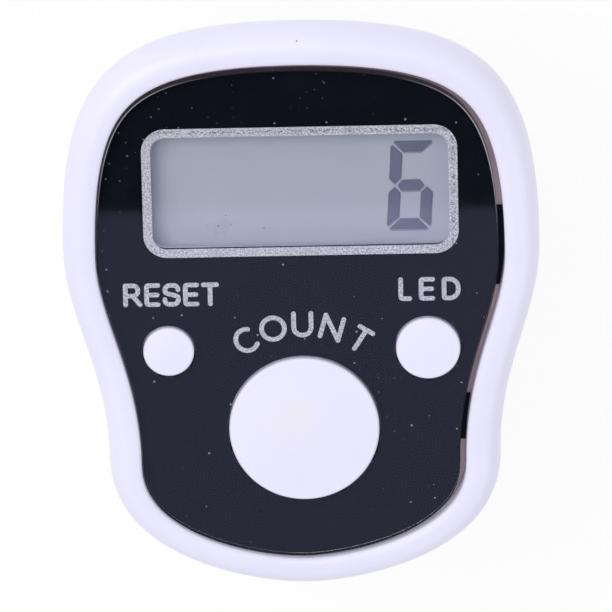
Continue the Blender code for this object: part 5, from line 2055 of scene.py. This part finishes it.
@dataclass
class FingerBand:
    """Soft band: knuckle with trunnions, loop round the finger and a slotted free end."""

    thickness: float = 1.4 * MM
    leg_x: float = 9.2 * MM
    foot_half: float = 4.1 * MM
    tongue_bend: float = 1.4 * MM
    tip_x: float = 16.0 * MM
    tip_corner: float = 2.6 * MM
    to_case: float = 0.35 * MM
    edge: float = 0.3 * MM
    knuckle_edge: float = 0.2 * MM
    trunnion_radius: float = 0.85 * MM
    trunnion_reach: float = 1.8 * MM
    trunnion_edge: float = 0.12 * MM
    slot_length: float = 1.7 * MM
    slot_half_width: float = 2.35 * MM
    slot_start: float = 11.3 * MM
    slot_pitch: float = 2.3 * MM
    slot_corner: float = 0.4 * MM
    tolerance: float = 0.01 * MM
    sharp_angle: float = math.radians(50)

    def path(self) -> list[Vector]:
        """Middle of the band as (x, height) from its hinge round the finger to its tip."""
        hinge = hinge_centre()
        left = -(self.foot_half + hinge.x)
        right = self.leg_x - self.foot_half
        floor = self.thickness / 2
        tongue = BACK - self.to_case - self.thickness / 2
        path = [Vector((hinge.x, hinge.z))]
        path += arc((-self.foot_half, floor + left), (left, left), 180, 270, 40)
        path += arc((self.foot_half, floor + right), (right, right), 270, 360, 36)
        bend = (self.leg_x + self.tongue_bend, tongue - self.tongue_bend)
        path += arc(bend, (self.tongue_bend, self.tongue_bend), 180, 90, 12)
        path.append(Vector((self.tip_x, tongue)))
        return path

    def strip(self) -> Solid:
        """Band as an even strip along its path, its tip and its long edges rounded."""
        path = self.path()
        sides: tuple[list[Vector], list[Vector]] = ([], [])
        for i, point in enumerate(path):
            along = path[min(i + 1, len(path) - 1)] - path[max(i - 1, 0)]
            across = Vector((-along.y, along.x)).normalized() * self.thickness / 2
            sides[0].append(point + across)
            sides[1].append(point - across)
        outline = sides[0] + list(reversed(sides[1]))
        bm = side_prism(outline, BAND_WIDTH, hinge_centre().y)
        tip = max(vert.co.x for vert in bm.verts)
        upright = [
            edge
            for edge in bm.edges
            if min(v.co.x for v in edge.verts) > tip - self.tolerance
            and abs(edge.verts[0].co.y - edge.verts[1].co.y) < self.tolerance
        ]
        bevelled(bm, upright, self.tip_corner, 12)
        bm.normal_update()
        sharp = [
            edge
            for edge in bm.edges
            if len(edge.link_faces) == 2 and edge.calc_face_angle() > self.sharp_angle
        ]
        bevelled(bm, sharp, self.edge, 5)
        return bm

    def make(self) -> None:
        """Build the band, cut its slots, join its knuckle and dress it."""
        band = add_piece("band_strap", self.strip())
        hinge = hinge_centre()
        tongue = BACK - self.to_case - self.thickness / 2
        leg_top = tongue - self.tongue_bend
        half, deep = self.slot_half_width, self.thickness
        cuts = []
        for i in range(2):
            start = self.slot_start + i * self.slot_pitch
            low = (start, hinge.y - half, tongue - deep)
            high = (start + self.slot_length, hinge.y + half, tongue + deep)
            cuts.append(add_piece("tongue_slot", plate(low, high, self.slot_corner, 6)))
        for i in range(2):
            top = leg_top - i * self.slot_pitch
            low = (self.leg_x - deep, hinge.y - half, top - self.slot_length)
            high = (self.leg_x + deep, hinge.y + half, top)
            cuts.append(add_piece("leg_slot", plate(low, high)))
        shape_with(band, Joining.CUT, cuts)
        half_width = BAND_WIDTH / 2
        reach = half_width + self.trunnion_reach
        knuckle = self.rounded_rod(KNUCKLE_RADIUS, half_width, self.knuckle_edge)
        trunnions = self.rounded_rod(self.trunnion_radius, reach, self.trunnion_edge)
        pins = [add_piece("knuckle", knuckle), add_piece("trunnions", trunnions)]
        shape_with(band, Joining.ADD, pins)
        place_piece(band, "band", BAND_WHITE, ["finger_band"])

    def rounded_rod(self, radius: float, reach: float, soft: float) -> Solid:
        """Rod on the hinge line with rounded ends.

        Args:
            radius: Radius of the rod.
            reach: Half of its length.
            soft: Radius of the rounding.

        Returns:
            The rod as a bmesh.
        """
        first = arc((radius - soft, -reach + soft), (soft, soft), -90, 0, 4)
        last = arc((radius - soft, reach - soft), (soft, soft), 0, 90, 4)
        profile = [(0.0, -reach), *first, *last, (0.0, reach)]
        return spun(profile, hinge_centre(), SMALL_ROUND, along="Y")


@dataclass
class InnerParts:
    """CAD pieces inside the case, whose shape is right and which only need their finish."""

    finishes: dict[str, Finish] = field(
        default_factory=lambda: {
            "front_polariser": DISPLAY_GREY,
            "rear_polariser": FILM_GREY,
            "lcd_cell": GLASS,
            "light_guide": GUIDE,
            "zebra_strip": RUBBER_BLACK,
            "circuit_board": BOARD,
            "chip_cover": RESIN_BLACK,
            "backlight_led": LAMP_BODY,
            "led_resistor": CERAMIC,
            "button_cell": CELL_STEEL,
            "positive_contact": CONTACT_NICKEL,
            "negative_contact": CONTACT_NICKEL,
            "board_screw_left": SCREW_STEEL,
            "board_screw_right": SCREW_STEEL,
        }
    )

    def make(self) -> None:
        """Give each inner piece its material."""
        for node, finish in self.finishes.items():
            piece = frame["nodes"][node]
            piece.data.materials.clear()
            piece.data.materials.append(finish.material())
            log.info("%s dressed as %s", node, finish.name)


@dataclass(frozen=True)
class RubberDome:
    """Rubber dome that gives way under its button."""

    name: str

    def make(self) -> None:
        """Copy the dome's solid and dress it."""
        node = f"{self.name}_dome"
        solid = frame["nodes"][node]
        bm = bmesh.new()
        bm.from_mesh(solid.data)
        bm.transform(solid.matrix_world)
        dome = add_piece(f"{node}_rubber", bm)
        place_piece(dome, "case", RUBBER_GREY, [node])
        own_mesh(dome)


@dataclass
class Studio:
    """Floor, soft light, reflector cards and the camera."""

    world_level: float = 0.69
    key_power: float = 1.08
    lamp_size: float = 0.4
    key_at: Point = (-0.2, 0.2, 0.46)
    fill_power: float = 0.19
    fill_at: Point = (0.3, -0.2, 0.35)
    target: Point = (0.28 * MM, 0.335 * MM, 28.2 * MM)
    distance: float = 0.75
    lens: float = 618.0
    lean: float = math.radians(19.3)
    lean_right: float = math.radians(0.8)
    roll: float = math.radians(-1.1)
    card_height: float = 0.16
    card_edge: float = 9.3 * MM
    card_size: float = 0.12
    floor_size: float = 4.0
    floor_gap: float = 0.05 * MM
    floor_tone: Colour = (0.985, 0.985, 0.99)
    floor_glow: float = 0.86
    grey_card: Colour = (0.475, 0.505, 0.845)
    dark_card: Colour = (0.02, 0.03, 0.05)
    sensor_width: float = 36.0
    clip_start: float = 0.01

    def make(self) -> None:
        """Set everything that isn't part of the object."""
        bpy.context.scene.view_settings.view_transform = "Standard"
        self.set_world()
        self.add_floor()
        self.add_lamp("key_lamp", self.key_at, self.key_power)
        self.add_lamp("fill_lamp", self.fill_at, self.fill_power)
        self.add_cards()
        self.add_camera()

    def set_world(self) -> None:
        """White to the eye and to reflections, softer as light."""
        world = bpy.data.worlds.new("studio")
        bpy.context.scene.world = world
        world.use_nodes = True
        tree = world.node_tree
        tree.nodes.clear()
        sheet = NodeSheet(tree)
        path = sheet.add("ShaderNodeLightPath")
        seen = sheet.maths("MAXIMUM", path.outputs["Is Camera Ray"], path.outputs["Is Glossy Ray"])
        seen = sheet.maths("MAXIMUM", seen, path.outputs["Is Transmission Ray"])
        as_light = sheet.maths("GREATER_THAN", path.outputs["Diffuse Depth"], 0.5)
        seen = sheet.times(seen, sheet.maths("SUBTRACT", 1.0, as_light))
        light, white = (
            sheet.add("ShaderNodeBackground", {"Color": WHITE, "Strength": strength})
            for strength in (self.world_level, 1.0)
        )
        shown = sheet.either(seen, light, white)
        sheet.add("ShaderNodeOutputWorld", {"Surface": shown.outputs[0]})

    def add_floor(self) -> None:
        """Pale floor that keeps a soft shadow, is white to the camera and clear from below."""
        bm = bmesh.new()
        bmesh.ops.create_grid(bm, x_segments=4, y_segments=4, size=self.floor_size / 2)
        bmesh.ops.translate(bm, vec=(0.0, 0.0, -self.floor_gap), verts=bm.verts)
        floor = add_piece("studio_floor", bm)
        if floor.data.polygons[0].normal.z < 0.0:
            floor.data.flip_normals()
        material, sheet = new_material("studio_floor")
        shader = sheet.tree.nodes["Principled BSDF"]
        place = sheet.add("ShaderNodeTexCoord").outputs["Object"]
        grain = GRAIN.use(sheet, Vector=place, Grain_Scale=400.0, Cloud_Scale=6.0)
        tone = sheet.mixed(grain["Cloud"], self.floor_tone, WHITE)
        matt = {"Base Color": tone, "Roughness": 0.9, "Specular IOR Level": 0.0}
        sheet.feed(shader, matt)
        path = sheet.add("ShaderNodeLightPath")
        seen = sheet.maths("MAXIMUM", path.outputs["Is Camera Ray"], path.outputs["Is Glossy Ray"])
        glow = sheet.add("ShaderNodeEmission", {"Color": WHITE, "Strength": 1.0})
        shown = sheet.either(sheet.times(seen, self.floor_glow), shader, glow)
        from_below = sheet.add("ShaderNodeNewGeometry").outputs["Backfacing"]
        shown = sheet.either(from_below, shown, sheet.add("ShaderNodeBsdfTransparent"))
        sheet.feed(sheet.tree.nodes["Material Output"], {"Surface": shown.outputs[0]})
        floor.data.materials.append(material)

    def add_lamp(self, name: str, at: Point, power: float) -> None:
        """Square lamp that faces the object and isn't seen itself.

        Args:
            name: Name of the lamp.
            at: Where it stands.
            power: Its power in watts.
        """
        data = bpy.data.lights.new(name, "AREA")
        data.shape = "SQUARE"
        data.size = self.lamp_size
        data.energy = power
        lamp = bpy.data.objects.new(name, data)
        lamp.location = at
        towards = Vector(self.target) - Vector(at)
        lamp.rotation_mode = "QUATERNION"
        lamp.rotation_quaternion = towards.to_track_quat("-Z", "Y")
        lamp.visible_camera = False
        bpy.context.scene.collection.objects.link(lamp)

    def add_cards(self) -> None:
        """Two cards seen only in reflections: grey for most of the panel, dark for its top."""
        edge = self.card_edge - self.card_height * math.tan(self.lean)
        height = self.target[2] + self.card_height
        cards = {
            "reflector_grey": (edge - self.card_size, edge, self.grey_card),
            "reflector_dark": (edge, edge + self.card_size / 3, self.dark_card),
        }
        for name, (first, last, colour) in cards.items():
            bm = bmesh.new()
            bmesh.ops.create_grid(bm, x_segments=1, y_segments=1, size=0.5)
            scale = (self.card_size, last - first, 1.0)
            bmesh.ops.scale(bm, vec=scale, verts=bm.verts)
            bmesh.ops.translate(bm, vec=(0.0, (first + last) / 2, height), verts=bm.verts)
            card = add_piece(name, bm)
            material, sheet = new_material(name)
            glow = sheet.add("ShaderNodeEmission", {"Color": colour, "Strength": 1.0})
            sheet.feed(sheet.tree.nodes["Material Output"], {"Surface": glow.outputs[0]})
            card.data.materials.append(material)
            card.visible_camera = False
            card.visible_diffuse = False
            card.visible_shadow = False

    def add_camera(self) -> None:
        """Camera at the photograph's angle."""
        data = bpy.data.cameras.new("camera")
        data.lens = self.lens
        data.sensor_width = self.sensor_width
        data.clip_start = self.clip_start
        camera = bpy.data.objects.new("camera", data)
        back = Vector((math.sin(self.lean_right), math.sin(self.lean), math.cos(self.lean)))
        back.normalize()
        right = Vector((0.0, 1.0, 0.0)).cross(back).normalized()
        up = back.cross(right)
        turned = Matrix((right, up, back)).transposed()
        turned = turned @ Matrix.Rotation(self.roll, 3, "Z")
        camera.rotation_mode = "QUATERNION"
        camera.rotation_quaternion = turned.to_quaternion()
        camera.location = Vector(self.target) + back * self.distance
        bpy.context.scene.collection.objects.link(camera)
        bpy.context.scene.camera = camera


def main() -> None:
    """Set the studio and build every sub-assembly in order."""
    logging.basicConfig(level=logging.INFO, format="%(name)s: %(message)s")
    outline = CaseOutline()
    Studio().make()
    InnerParts().make()
    FrontShell(outline).make()
    FrontPanel(outline).make()
    Display().make()
    for button in BUTTONS:
        button.make()
    for name in ("count", "reset", "led"):
        RubberDome(name).make()
    RearCover(outline).make()
    BATTERY_LID.make()
    for node in CASE_SCREWS:
        CrossScrew(node, 1.25 * MM, 0.7 * MM, 0.7 * MM).make()
    CrossScrew("battery_cover_screw", 1.0 * MM, 0.55 * MM, 0.35 * MM).make()
    FingerBand().make()


if __name__ == "__main__":
    main()
